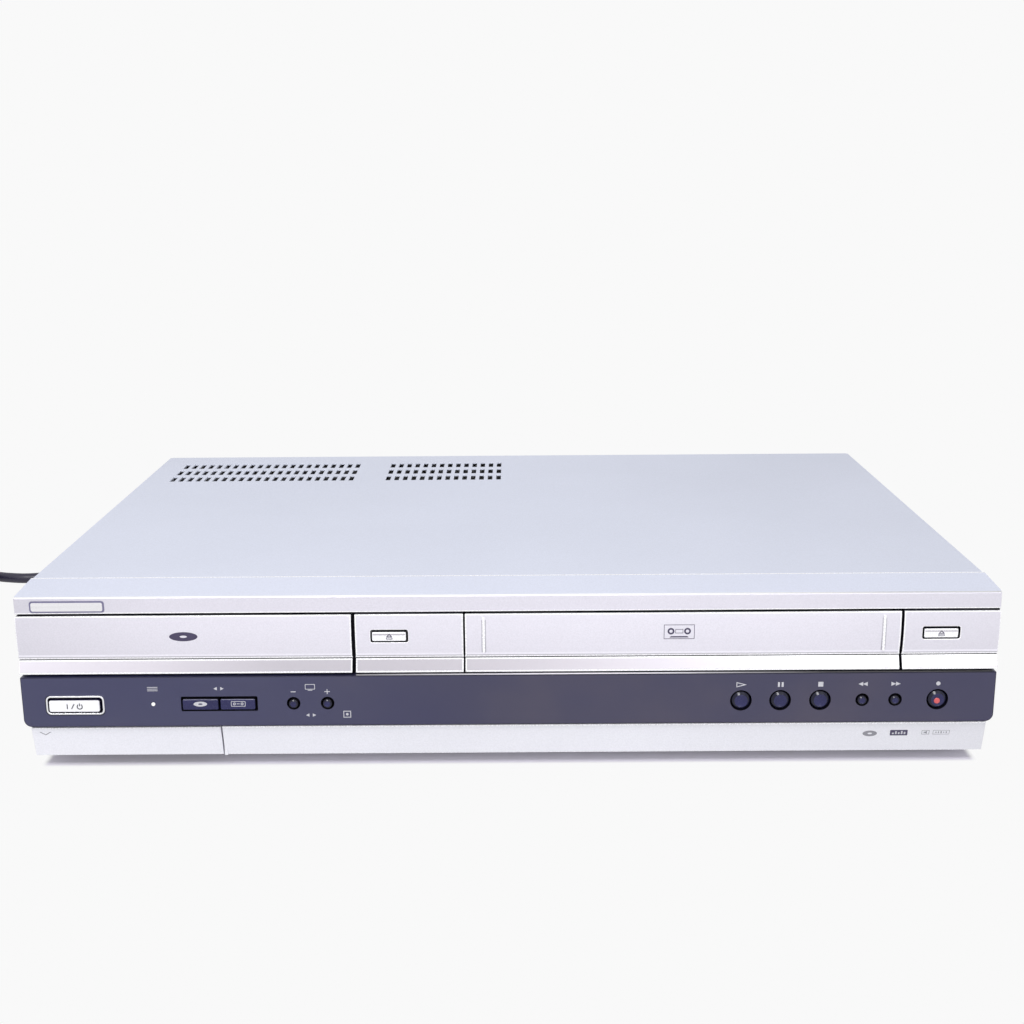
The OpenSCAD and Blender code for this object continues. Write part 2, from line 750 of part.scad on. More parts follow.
module lead_screw() {
    y0 = -62;
    turns = 13;
    color(steel) translate([screw_x, y0, rod_z]) rotate([-90, 0, 0]) rotate_extrude() polygon(concat(
        [[0, 0], [1.5, 0], [1.5, 3]],
        [for (i = [0 : turns - 1]) for (j = [0, 1]) [1.5 + 0.7 * j, 3 + 4 * i + 2 * j]],
        [[1.5, 3 + 4 * turns], [1.5, 59], [0, 59]]
    ));
}

module clamp_bridge() {
    color(steel) difference() {
        slab(frame_x0, frame_x1, disc_y - 24, disc_y + 24, 66, 67.4);
        rod_z_at(disc_x, disc_y, 65, 69, 15.5);
    }
}

module disc_clamp() {
    color(black_plastic) translate([disc_x, disc_y, 0]) rotate_extrude()
        polygon([[0, 60.8], [14, 60.8], [14, 67.7], [18, 67.7], [18, 69.4], [9, 70.6], [0, 70.6]]);
}

// --- Tape drive ---

guide_slot = 5;

module tape_deck_plate() {
    color(steel) difference() {
        union() {
            slab(-20, 174, -122, 74, deck_z, deck_top);
            for (s = [-1, 1]) rod_z_at(tape_x + s * reel_off, reel_y, deck_z, 36, reel_pin_r);
            rod_z_at(capstan_x, capstan_y, deck_z, 24, 4);
            rod_z_at(arm_x, arm_y, deck_z, 24, arm_pin_r);
        }
        for (x = [tape_x - guide_off, tape_x + guide_off])
            slab(x - guide_slot / 2, x + guide_slot / 2, guide_y - 5, guide_y + guide_travel + 5,
                deck_z - 1, deck_top + 1);
        rod_z_at(capstan_x, capstan_y, deck_z - 1, 25, 1.5 + pin_gap);
        for (x = [tape_x - 30, tape_x + 30]) slab(x - 12, x + 12, -115, -96, deck_z - 1, deck_top + 1);
    }
}

module drum_base() {
    color(steel) {
        slab(tape_x - 30, tape_x + 30, drum_y - 26, drum_y + 26, deck_top, 23.5);
        translate([tape_x, drum_y, 27]) rotate([-drum_tilt, 0, 0]) {
            cylinder(r = drum_r - 6, h = 5);
            translate([0, 0, 3]) cylinder(r = drum_r, h = 10);
            cylinder(r = 3, h = 30);
        }
        slab(tape_x - 20, tape_x + 20, drum_y - 18, drum_y + 18, 23, 29);
    }
}

module head_drum() {
    color([0.8, 0.8, 0.82]) translate([tape_x, drum_y, 27]) rotate([-drum_tilt, 0, 0]) difference() {
        union() {
            translate([0, 0, 13.4]) cylinder(r = drum_r, h = 11);
            translate([0, 0, 24]) cylinder(r = 15, h = 4);
        }
        translate([0, 0, 13]) cylinder(r = 3.06, h = 16);
        for (a = [0, 180]) rotate([0, 0, a]) translate([drum_r - 2, -1.5, 13]) cube([3, 3, 2.6]);
        for (a = [45 : 90 : 315]) rotate([0, 0, a]) translate([22, 0, 20]) cylinder(r = 3, h = 6);
    }
}

module capstan() {
    color(steel) {
        rod_z_at(capstan_x, capstan_y, 9.5, 16, 19);
        rod_z_at(capstan_x, capstan_y, 15, 18.5, 7);
        rod_z_at(capstan_x, capstan_y, 18, 50, 1.5);
    }
}

module pinch_arm() {
    color(steel) {
        difference() {
            union() {
                rod_z_at(arm_x, arm_y, deck_top + 0.2, 34, 4);
                rod_z_at(arm_x, arm_y, 30, 34, 5);
                across_arm(30, 33);
            }
            rod_z_at(arm_x, arm_y, deck_top - 1, 24.5, arm_pin_r + pin_gap);
        }
        rod_z_at(roller_x, roller_y, 31, 48, 1.2);
    }
}

// Flat arm between the pinch arm's pivot and the roller's pin
module across_arm(z0, z1) {
    dx = roller_x - arm_x;
    dy = roller_y - arm_y;
    translate([arm_x, arm_y, z0]) rotate([0, 0, atan2(dy, dx)]) translate([0, -2.5, 0])
        cube([norm([dx, dy]) + 2, 5, z1 - z0]);
}

module pinch_roller() {
    color(black_plastic) difference() {
        rod_z_at(roller_x, roller_y, 33.5, 47, 5.7);
        rod_z_at(roller_x, roller_y, 33, 48, 1.26);
    }
}

module reel(x) {
    bore = reel_pin_r + pin_gap;
    color(black_plastic) translate([x, reel_y, 0]) {
        rotate_extrude() polygon([[bore, deck_top + 0.4], [17, deck_top + 0.4], [18.5, deck_top + 1.5],
            [18.5, 24.6], [8, 24.6], [8, 26.4], [4.2, 26.4], [4.2, 36], [3, 38], [bore, 38]]);
        for (a = [0 : 60 : 300]) rotate([0, 0, a]) translate([3.6, -0.7, 26]) cube([2.4, 1.4, 9]);
    }
}

module supply_reel() { reel(tape_x - reel_off); }
module takeup_reel() { reel(tape_x + reel_off); }

module guide(x) {
    color([0.8, 0.8, 0.82]) translate([x, guide_y, 0]) {
        slab(-6, 6, -5, 5, deck_top + 0.3, 26);
        slab(-2, 2, -3, 3, 17.5, deck_top + 1);
        slab(-5, 5, -4, 4, 16.5, 18);
        rod_z_at(0, 0, 26, 28.5, 4.5);
        rod_z_at(0, 0, 28, 43, 2.8);
        rod_z_at(0, 0, 43, 45.5, 4.5);
    }
}

module supply_guide() { guide(tape_x - guide_off); }
module takeup_guide() { guide(tape_x + guide_off); }

module tape_heads() {
    color(steel) {
        slab(8, 22, 2, 14, deck_top, 26);
        slab(9, 21, 3, 13, 26, 45);
        slab(146, 162, -6, 4, deck_top, 26);
        slab(148, 160, -5, 2, 26, 47);
    }
}

module cassette_frame() {
    color(steel) for (s = [0, 1]) {
        x = s == 0 ? tape_x - cradle_w / 2 - 5.4 : tape_x + cradle_w / 2 + 3.9;
        difference() {
            slab(x, x + 1.5, -122, 20, deck_top, 78);
            slab(x - 1, x + 3, -100, 0, 30, 44);
        }
        foot = s == 0 ? x - 3 : x + 4.5;
        slab(min(x, foot), max(x + 1.5, foot), -122, 20, deck_top, 23);
    }
}

module cradle_carriage() {
    bar_z = 75;
    color(steel) {
        for (s = [0, 1]) {
            x = s == 0 ? tape_x - cradle_w / 2 - 3 : tape_x + cradle_w / 2 + 1.8;
            slab(x, x + 1.2, cradle_y0, cradle_y1, 44, bar_z + 1.2);
        }
        slab(tape_x - cradle_w / 2 - 3, tape_x + cradle_w / 2 + 3, cradle_y1 - 16, cradle_y1,
            bar_z, bar_z + 1.2);
    }
}

module cassette_cradle() {
    wall = 1;
    x0 = tape_x - cradle_w / 2;
    x1 = tape_x + cradle_w / 2;
    color(steel) {
        for (s = [0, 1]) {
            a = s == 0 ? x0 - wall : x1;
            slab(a, a + wall, cradle_y0, cradle_y1, cradle_floor - 0.8, cradle_top + 0.8);
            b = s == 0 ? x0 - wall : x1 - 18;
            slab(b, b + 18 + wall, cradle_y0, cradle_y1, cradle_floor - 0.8, cradle_floor);
            slab(b, b + 18 + wall, cradle_y1 - 1, cradle_y1, cradle_floor - 0.8, cradle_floor + 8);
        }
        slab(x0 - wall, x1 + wall, cradle_y0 + 6, cradle_y1, cradle_top, cradle_top + 0.8);
    }
}

module tape_flap() {
    ear_w = 2.5;
    color(silver) {
        band(flap_left, flap_right);
        for (s = [0, 1]) {
            x = s == 0 ? flap_left + 0.3 : flap_right - 0.3 - ear_w;
            across(x, x + ear_w, [[skin_back - 0.1, 66], [flap_pivot_y - 2, flap_pivot_z],
                [flap_pivot_y + 2, flap_pivot_z], [skin_back + 1.6, 66]]);
            rod_x(flap_pivot_y, flap_pivot_z, x, x + ear_w, 2);
            rod_x(flap_pivot_y, flap_pivot_z, s == 0 ? mid_right - 1.4 : x,
                s == 0 ? x + 1 : right_left + 1.4, flap_pin_r);
        }
        // Two thin upright ribs
        for (x = [-10.4, 164.5]) slab(x - 0.6, x + 0.6, front_y - crown - 0.4, front_y + 0.5, 54.5, 71);
    }
}

// --- Electronics ---

module main_board() {
    color(board_green) {
        slab(-8, 208, 78, 139.5, 14, 15.6);
        slab(168, 206, 80, 126, 15.6, 34);
        for (p = [[20, 92], [34, 92], [60, 110], [140, 90], [150, 100]])
            rod_z_at(p[0], p[1], 15.6, 30, 4.5);
        slab(84, 106, 90, 112, 15.6, 18);
        slab(40, 54, 92, 104, 15.6, 17.6);
        slab(0, 20, 105, 130, 15.6, 19);
    }
}

module power_supply() {
    color([0.72, 0.62, 0.42]) {
        slab(-200, -30, 36, 136, 14, 15.6);
        slab(-120, -84, 66, 100, 15.6, 46);
        rod_z_at(-160, 60, 15.6, 48, 11);
        for (p = [[-66, 56], [-52, 56], [-66, 74], [-52, 74], [-60, 96]]) rod_z_at(p[0], p[1], 15.6, 36, 5);
        slab(-146, -143, 80, 120, 15.6, 52);
        slab(-78, -75, 60, 100, 15.6, 50);
        slab(-196, -176, 100, 126, 15.6, 30);
    }
}

module rear_jacks() {
    back = rear_face - 12;
    color(black_plastic) {
        slab(70, 196, back, rear_face, 27, 63);
        slab(70, 165, back, rear_face, 15.6, 28);
        for (p = rf_jacks) difference() {
            union() {
                rod_y(p[0], p[1], rear_face - 2, rear_y, 6);
                rod_y(p[0], p[1], rear_face - 2, jack_end, rf_r);
            }
            rod_y(p[0], p[1], rear_face, jack_end + 1, 3.6);
        }
        for (p = audio_jacks) difference() {
            union() {
                rod_y(p[0], p[1], rear_face - 2, rear_y, jack_r + 0.35);
                rod_y(p[0], p[1], rear_face - 2, jack_end, jack_r);
            }
            difference() {
                rod_y(p[0], p[1], rear_face, jack_end + 1, 3.4);
                rod_y(p[0], p[1], rear_face - 1, jack_end + 2, 2.5);
            }
            rod_y(p[0], p[1], rear_face, jack_end + 1, 1.7);
        }
        difference() {
            rod_y(94, 34, rear_face - 2, rear_y + 1, 6.2);
            rod_y(94, 34, rear_face, rear_y + 2, 5);
        }
        difference() {
            frontal(80, 34, rear_face - 2, rear_y + 1) square([8.8, 8.8], center = true);
            frontal(80, 34, rear_face + 1, rear_y + 2) square([6, 6], center = true);
        }
    }
}

// --- Mains lead ---

module strain_relief() {
    color(black_plastic) translate([relief_x, rear_y - 3, relief_z]) rotate([-90, 0, 0]) rotate_extrude()
        polygon([[0, 0], [7.5, 0], [7.5, 1.8], [5.5, 2], [5.5, 3], [7.5, 3.2], [7.5, 4.6], [5.2, 5],
            [cord_r + 0.4, relief_len + 3], [0, relief_len + 3]]);
}

// Unit vector along a route at point i
function along(route, i) =
    let (a = route[max(i - 1, 0)], b = route[min(i + 1, len(route) - 1)]) (b - a) / norm(b - a);

// Ring of points around a route at point i
function ring(route, i, r, sides) =
    let (
        t = along(route, i),
        side = [t[1], -t[0], 0] / norm([t[0], t[1]]),
        up = cross(side, t)
    )
    [for (k = [0 : sides - 1]) let (a = 360 * k / sides) route[i] + r * (cos(a) * side + sin(a) * up)];

// Closed tube along a route
module tube(route, r, sides) {
    last = len(route) - 1;
    points = [for (i = [0 : last]) each ring(route, i, r, sides)];
    walls = [for (i = [0 : last - 1]) for (k = [0 : sides - 1]) let (n = (k + 1) % sides)
        [i * sides + k, i * sides + n, (i + 1) * sides + n, (i + 1) * sides + k]];
    first_cap = [for (k = [sides - 1 : -1 : 0]) k];
    last_cap = [for (k = [0 : sides - 1]) last * sides + k];
    polyhedron(points = points, faces = concat(walls, [first_cap], [last_cap]), convexity = 6);
}

module mains_cord() {
    color(black_plastic) {
        tube(cord_route, cord_r, 10);
        tube(tail_route, cord_r, 10);
    }
}

module mains_coil() {
    color(black_plastic) translate([coil_x, coil_y, 0]) rotate_extrude()
        polygon([[coil_inner, 0], [coil_outer, 0], [coil_outer, coil_h], [coil_inner, coil_h]]);
}

module mains_plug() {
    blade_gap = 12.7;
    p = tail_route[len(tail_route) - 1];
    color(black_plastic) translate([p[0], p[1], 0]) rotate([0, 0, plug_turn]) {
        slab(-12.5, 12.5, -26, -10, 0, 14);
        slab(-5, 5, -10.2, 0, 2.5, 11.5);
        for (s = [-1, 1]) slab(s * blade_gap / 2 - 0.8, s * blade_gap / 2 + 0.8, -43, -25.5, 4, 10.3);
    }
}

bottom_chassis();
top_cover();
rear_panel();
front_bezel();
control_panel();
feet();
case_screws();
power_button_ring();
status_lamp();
power_button();
disc_eject_button();
tape_eject_button();
disc_select_button();
tape_select_button();
channel_down_button();
channel_up_button();
play_button();
pause_button();
stop_button();
rewind_button();
fast_forward_button();
record_button();
front_board();
display_tube();
input_door();
front_input_jacks();
disc_frame();
disc_tray();
tray_front();
tray_gear();
loader_motors();
sled_frame();
spindle_motor();
turntable();
optical_pickup();
lead_screw();
clamp_bridge();
disc_clamp();
tape_deck_plate();
drum_base();
head_drum();
capstan();
pinch_arm();
pinch_roller();
supply_reel();
takeup_reel();
supply_guide();
takeup_guide();
tape_heads();
cassette_frame();
cradle_carriage();
cassette_cradle();
tape_flap();
main_board();
power_supply();
rear_jacks();
strain_relief();
mains_cord();
mains_coil();
mains_plug();
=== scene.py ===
import json
import math

import bmesh
import bpy
from mathutils import Matrix, Vector

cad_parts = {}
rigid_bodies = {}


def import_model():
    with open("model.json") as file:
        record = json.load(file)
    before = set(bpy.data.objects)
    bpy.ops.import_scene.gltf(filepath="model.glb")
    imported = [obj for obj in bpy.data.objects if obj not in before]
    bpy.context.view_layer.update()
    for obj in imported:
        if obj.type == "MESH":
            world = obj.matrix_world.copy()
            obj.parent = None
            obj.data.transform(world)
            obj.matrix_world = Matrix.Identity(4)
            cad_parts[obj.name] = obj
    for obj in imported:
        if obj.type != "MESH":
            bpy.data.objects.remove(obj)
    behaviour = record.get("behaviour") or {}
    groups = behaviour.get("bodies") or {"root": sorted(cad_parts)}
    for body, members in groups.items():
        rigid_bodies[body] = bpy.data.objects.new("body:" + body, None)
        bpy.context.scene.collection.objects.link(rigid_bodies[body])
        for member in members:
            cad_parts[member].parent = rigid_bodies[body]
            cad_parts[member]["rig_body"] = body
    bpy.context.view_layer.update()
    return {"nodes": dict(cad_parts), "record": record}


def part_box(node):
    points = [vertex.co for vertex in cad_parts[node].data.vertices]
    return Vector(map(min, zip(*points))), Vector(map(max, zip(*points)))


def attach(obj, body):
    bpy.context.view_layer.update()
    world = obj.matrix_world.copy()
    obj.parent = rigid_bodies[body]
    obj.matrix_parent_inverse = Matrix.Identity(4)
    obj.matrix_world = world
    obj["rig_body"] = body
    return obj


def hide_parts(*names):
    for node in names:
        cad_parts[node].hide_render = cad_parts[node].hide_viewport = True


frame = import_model()
NODES = frame["nodes"]
MM = 0.001

# ---------------------------------------------------------------- camera
FRONT_EDGE = Vector((0.0, -0.146, 0.081))               # middle of the cap's upper front edge
CAMERA_FROM_EDGE = Vector((0.0038, -0.58103, 0.18303))  # fitted to the outline in the photograph
YAW, PITCH, ROLL = -0.142, 14.109, 0.4166               # degrees, from the same fit
FOCAL_PIXELS = 1400                                     # the one kept of several tried in the fit
PICTURE_PIXELS = 1024
SENSOR = 36.0

yaw, pitch, roll = math.radians(YAW), math.radians(PITCH), math.radians(ROLL)
forward = Vector((math.sin(yaw) * math.cos(pitch), math.cos(yaw) * math.cos(pitch), -math.sin(pitch)))
level_right = Vector((math.cos(yaw), -math.sin(yaw), 0.0))
level_down = forward.cross(level_right)
picture_right = level_right * math.cos(roll) + level_down * math.sin(roll)
picture_down = level_right * -math.sin(roll) + level_down * math.cos(roll)
camera_data = bpy.data.cameras.new("camera")
camera = bpy.data.objects.new("camera", camera_data)
bpy.context.scene.collection.objects.link(camera)
turn = Matrix((picture_right, -picture_down, -forward)).transposed().to_4x4()
camera.matrix_world = Matrix.Translation(FRONT_EDGE + CAMERA_FROM_EDGE) @ turn
camera_data.sensor_width = SENSOR
camera_data.lens = FOCAL_PIXELS * SENSOR / PICTURE_PIXELS
camera_data.clip_start = 0.01
camera_data.clip_end = 50
bpy.context.scene.camera = camera

# ---------------------------------------------------------------- materials
MAT = {}
HALF_WIDTH = 215                    # half the player's width in millimetres
NOISE_LOW, NOISE_HIGH = 0.3, 0.7    # most values of a noise texture lie between these
GRAIN_SIZE = 2e-5                   # height of the fine grain in metres
FLAKE_SCALE = 2600                  # size of the paint's flakes, as a texture scale
PEEL_SCALE = 420                    # size of the waves in its lacquer


def tree_of(name):
    """A new material: its nodes, its links and its main shader."""
    material = bpy.data.materials.new(name)
    material.use_nodes = True
    MAT[name] = material
    nodes, links = material.node_tree.nodes, material.node_tree.links
    return nodes, links, nodes["Principled BSDF"]


def coords(nodes, links, scale=(1, 1, 1)):
    where = nodes.new("ShaderNodeTexCoord")
    mapping = nodes.new("ShaderNodeMapping")
    mapping.inputs["Scale"].default_value = scale
    links.new(where.outputs["Object"], mapping.inputs["Vector"])
    return mapping.outputs["Vector"]


def noise(nodes, links, vector, scale, detail):
    texture = nodes.new("ShaderNodeTexNoise")
    texture.inputs["Scale"].default_value = scale
    texture.inputs["Detail"].default_value = detail
    links.new(vector, texture.inputs["Vector"])
    return texture.outputs["Fac"]


def ramp(nodes, links, value, stops):
    """A colour for each value, from stops of (value, colour)."""
    node = nodes.new("ShaderNodeValToRGB")
    elements = node.color_ramp.elements
    for element, (at, colour) in ((elements[0], stops[0]), (elements[1], stops[-1])):
        element.position = at
        element.color = (*colour, 1)
    for at, colour in stops[1:-1]:
        elements.new(at).color = (*colour, 1)
    links.new(value, node.inputs["Fac"])
    return node.outputs["Color"]


def span(nodes, links, value, low, high):
    """Spreads a noise over a range."""
    node = nodes.new("ShaderNodeMapRange")
    node.inputs["From Min"].default_value = NOISE_LOW
    node.inputs["From Max"].default_value = NOISE_HIGH
    node.inputs["To Min"].default_value = low
    node.inputs["To Max"].default_value = high
    links.new(value, node.inputs["Value"])
    return node.outputs["Result"]


def along_x(nodes, links, vector, stops):
    """A colour that changes along X, from stops of (millimetres, colour)."""
    split = nodes.new("ShaderNodeSeparateXYZ")
    links.new(vector, split.inputs["Vector"])
    place_x = nodes.new("ShaderNodeMapRange")
    place_x.inputs["From Min"].default_value = -HALF_WIDTH * MM
    place_x.inputs["From Max"].default_value = HALF_WIDTH * MM
    links.new(split.outputs["X"], place_x.inputs["Value"])
    shares = [((x + HALF_WIDTH) / (2 * HALF_WIDTH), colour) for x, colour in stops]
    return ramp(nodes, links, place_x.outputs["Result"], shares)


def multiply(nodes, links, first, second):
    mix = nodes.new("ShaderNodeMix")
    mix.data_type = "RGBA"
    mix.blend_type = "MULTIPLY"
    mix.inputs["Factor"].default_value = 1.0
    links.new(first, mix.inputs["A"])
    links.new(second, mix.inputs["B"])
    return mix.outputs["Result"]


def bump(nodes, links, bsdf, height, strength, distance):
    node = nodes.new("ShaderNodeBump")
    node.inputs["Strength"].default_value = strength
    node.inputs["Distance"].default_value = distance
    links.new(height, node.inputs["Height"])
    links.new(node.outputs["Normal"], bsdf.inputs["Normal"])


def shade(colour, k):
    return tuple(min(1.0, c * k) for c in colour)


def set_shine(bsdf, metal, spec, coat, coat_rough):
    bsdf.inputs["Metallic"].default_value = metal
    bsdf.inputs["Specular IOR Level"].default_value = spec
    bsdf.inputs["Coat Weight"].default_value = coat
    bsdf.inputs["Coat Roughness"].default_value = coat_rough


def surface(name, colour, rough, metal=0.0, vary=0.03, patch=18, grain=900, strength=0.35, coat=0.0,
            stretch=(1, 1, 1), rough_vary=0.05, tones=None, spec=0.5, along=None):
    """A solid finish: broad colour variation, fine grain in the normal and uneven gloss; along paints shade
    onto it along X.
    """
    nodes, links, bsdf = tree_of(name)
    vector = coords(nodes, links, stretch)
    broad = noise(nodes, links, vector, patch, 3)
    fine = noise(nodes, links, vector, grain, 2)
    low, high = tones or (shade(colour, 1 - vary), shade(colour, 1 + vary))
    base = ramp(nodes, links, broad, [(NOISE_LOW, low), (0.5, colour), (NOISE_HIGH, high)])
    if along:
        base = multiply(nodes, links, base, along_x(nodes, links, vector, along))
    links.new(base, bsdf.inputs["Base Color"])
    links.new(span(nodes, links, fine, rough - rough_vary, rough + rough_vary), bsdf.inputs["Roughness"])
    set_shine(bsdf, metal, spec, coat, coat_rough=0.15)
    bump(nodes, links, bsdf, fine, strength, GRAIN_SIZE)


def flake_paint(name, colour, rough, metal, flake=0.05, coat=0.2, vary=0.02, gloss=0.06, along=None,
                spec=0.5):
    """Silver paint: fine metallic flakes under a thin satin lacquer; along paints light and shade onto it
    along X.
    """
    nodes, links, bsdf = tree_of(name)
    vector = coords(nodes, links)
    broad = noise(nodes, links, vector, 9, 3)
    cells = nodes.new("ShaderNodeTexVoronoi")
    cells.inputs["Scale"].default_value = FLAKE_SCALE
    links.new(vector, cells.inputs["Vector"])
    grey = nodes.new("ShaderNodeRGBToBW")
    links.new(cells.outputs["Color"], grey.inputs["Color"])
    flakes = grey.outputs["Val"]
    tones = [(NOISE_LOW, shade(colour, 1 - vary)), (NOISE_HIGH, shade(colour, 1 + vary))]
    base = ramp(nodes, links, broad, tones)
    speck = ramp(nodes, links, flakes, [(0.2, (1 - flake,) * 3), (0.8, (1 + flake * 0.4,) * 3)])
    tinted = multiply(nodes, links, base, speck)
    if along:
        greys = [(x, (k, k, k)) for x, k in along]
        tinted = multiply(nodes, links, tinted, along_x(nodes, links, vector, greys))
    links.new(tinted, bsdf.inputs["Base Color"])
    links.new(span(nodes, links, flakes, rough - gloss, rough + gloss), bsdf.inputs["Roughness"])
    set_shine(bsdf, metal, spec, coat, coat_rough=0.25)
    orange_peel = noise(nodes, links, vector, PEEL_SCALE, 2)
    bump(nodes, links, bsdf, orange_peel, 0.12, 3e-5)


# cover_paint and cap_top grow darker towards the ends, most on the right (along): painted shade.
flake_paint("cover_paint", (0.73, 0.76, 0.88), 0.60, 0.05, coat=0.0, spec=0.15,
            along=[(-215, 1.0), (0, 1.0), (215, 0.93)])
flake_paint("cap_top", (0.75, 0.78, 0.91), 0.60, 0.05, coat=0.0, spec=0.15,
            along=[(-215, 0.98), (-60, 1.0), (215, 0.95)])
# The silver of the cap and the front darkens towards both ends (along): painted shade.
flake_paint("cap_silver", (0.70, 0.68, 0.76), 0.38, 0.25, gloss=0.03,
            along=[(-215, 0.86), (-150, 0.97), (60, 1.0), (150, 0.96), (215, 0.93)])
flake_paint("front_silver", (0.74, 0.72, 0.80), 0.38, 0.25, gloss=0.03,
            along=[(-215, 0.88), (-140, 0.98), (60, 1.0), (140, 0.97), (215, 0.90)])
# A darker copy of the front's silver, darkest in the middle along X: painted shade on the down-facing lip
# and on a band across the eject buttons.
flake_paint("painted_shade_silver", (0.62, 0.59, 0.65), 0.30, 0.35, flake=0.012, gloss=0.008, vary=0.015,
            along=[(-215, 1.0), (-160, 0.95), (-100, 0.76), (-20, 0.78), (60, 0.8), (215, 0.8)])
# Grey for painted shadow in the step under the doors' faces and beside the flap's ribs.
flake_paint("painted_shadow_grey", (0.46, 0.45, 0.50), 0.45, 0.2, flake=0.02, gloss=0.02)
# A lighter copy of the front's silver: a painted band of light along the foot of the doors' faces.
flake_paint("painted_light_silver", (0.82, 0.80, 0.88), 0.38, 0.25, gloss=0.03)
# Near white: painted highlights along edges, seams, the flap's ribs and the lip; the fronts of the eject
# buttons take it too.
flake_paint("painted_highlight_white", (0.93, 0.93, 0.96), 0.26, 0.2)
# The strip's silver darkens towards the right (along): painted shade.
flake_paint("strip_silver", (0.82, 0.82, 0.88), 0.38, 0.2, gloss=0.03,
            along=[(-215, 1.0), (-110, 0.96), (60, 0.95), (215, 0.85)])
# A light line along the rail, fading out towards both ends along X: painted reflection.
flake_paint("rail_painted_reflection", (0.95, 0.93, 1.0), 0.4, 0.2, gloss=0.02, along=[
    (-68, 0.35), (-20, 0.7), (10, 1.0), (70, 0.9), (105, 0.35), (140, 0.08), (215, 0.05)])
# Painted highlight along the cap's upper front edge, dimmer towards the right.
flake_paint("cap_painted_highlight", (0.93, 0.93, 0.96), 0.3, 0.2, gloss=0.02, along=[
    (-215, 0.9), (40, 1.0), (120, 0.8), (170, 0.62), (215, 0.6)])
# panel_dark grows darker and less red towards the right (along): painted shade.
surface("panel_dark", (0.040, 0.041, 0.098), 0.34, coat=0.1, patch=16, grain=1500,
        tones=((0.034, 0.035, 0.096), (0.058, 0.055, 0.102)),
        along=[(-215, (1.0, 1.0, 1.0)), (-120, (0.98, 0.97, 0.96)), (-20, (0.92, 0.86, 0.80)),
               (215, (0.90, 0.82, 0.78))])
# Darker than the panel: painted shade on its rounded edges, as a dark outline.
surface("panel_painted_shade_edge", (0.009, 0.008, 0.030), 0.4, vary=0.15, patch=60, spec=0.3)
surface("button_dark", (0.022, 0.022, 0.080), 0.26, vary=0.15, patch=90, spec=0.3)
# Painted highlight on the select buttons' upper rounded edges.
surface("button_painted_highlight", (0.12, 0.12, 0.20), 0.3, vary=0.1, patch=90)
# A darker shoulder round each round button's dish: painted shade.
surface("button_painted_shade_rim", (0.005, 0.005, 0.020), 0.18, vary=0.15, patch=90, spec=0.35, strength=0.05,
        rough_vary=0.02)
surface("button_white", (0.86, 0.86, 0.90), 0.35, vary=0.02, coat=0.2)
surface("ring_bright", (0.85, 0.85, 0.88), 0.14, metal=0.9, vary=0.02)
surface("lamp_clear", (0.90, 0.90, 0.88), 0.12, vary=0.02, coat=0.4)
surface("sheet_steel", (0.60, 0.61, 0.62), 0.34, metal=0.9, vary=0.06, patch=14, grain=220,
        stretch=(1, 12, 1))
surface("plated_screw", (0.55, 0.55, 0.57), 0.28, metal=1.0, vary=0.06, patch=120)
surface("foot_rubber", (0.022, 0.022, 0.025), 0.75, vary=0.15, patch=120, grain=700, strength=0.6)
surface("circuit_board", (0.035, 0.14, 0.06), 0.38, coat=0.3, vary=0.2, patch=160)
surface("supply_board", (0.38, 0.27, 0.13), 0.5, vary=0.12, patch=120)
surface("display_glass", (0.05, 0.09, 0.09), 0.08, vary=0.1, coat=0.6)
surface("black_plastic", (0.022, 0.022, 0.026), 0.45, vary=0.12, patch=60, grain=600)
surface("grey_plastic", (0.11, 0.11, 0.12), 0.48, vary=0.1, patch=60, grain=600)
surface("white_nylon", (0.84, 0.82, 0.76), 0.4, vary=0.04, patch=80)
surface("machined_aluminium", (0.76, 0.76, 0.78), 0.22, metal=1.0, vary=0.04, grain=260,
        stretch=(1, 1, 30))
# Near black inside gaps, holes and grooves and under the cap: painted shade.
surface("painted_shade_black", (0.010, 0.009, 0.016), 0.6, vary=0.1, patch=80, grain=500, spec=0.2)
# Dark navy in the gaps round the power button: painted shade.
surface("painted_shade_navy", (0.016, 0.014, 0.055), 0.5, vary=0.1, patch=80, grain=500, spec=0.3)
surface("nickel", (0.46, 0.45, 0.43), 0.24, metal=1.0, vary=0.06, patch=200)
surface("jack_yellow", (0.80, 0.55, 0.03), 0.38, vary=0.05, patch=200)
surface("jack_white", (0.82, 0.82, 0.80), 0.38, vary=0.03, patch=200)
surface("jack_red", (0.55, 0.02, 0.02), 0.38, vary=0.06, patch=200)
surface("jack_green", (0.03, 0.32, 0.08), 0.38, vary=0.06, patch=200)
surface("jack_blue", (0.02, 0.07, 0.42), 0.38, vary=0.06, patch=200)
surface("jack_orange", (0.75, 0.22, 0.02), 0.38, vary=0.06, patch=200)
surface("print_white", (0.50, 0.50, 0.54), 0.55, vary=0.05, patch=300, grain=1800)
surface("print_grey", (0.24, 0.24, 0.27), 0.55, vary=0.06, patch=300, grain=1800)
surface("print_dark", (0.050, 0.040, 0.090), 0.5, vary=0.08, patch=300, grain=1800)
surface("record_red", (0.58, 0.085, 0.092), 0.35, vary=0.06, patch=300, coat=0.3)
surface("badge_violet", (0.17, 0.16, 0.27), 0.35, metal=0.3, vary=0.06, patch=90, coat=0.2)
surface("badge_silver", (0.84, 0.83, 0.86), 0.22, metal=0.8, vary=0.03, patch=30, grain=320,
        stretch=(1, 1, 30))
surface("cord_black", (0.020, 0.017, 0.040), 0.42, vary=0.12, patch=60, grain=700)

slot_of = {s["node"]: s["material_slot"] for s in frame["record"]["subparts"]}
for name, obj in NODES.items():
    obj.data.materials.clear()
    obj.data.materials.append(MAT[slot_of[name]])

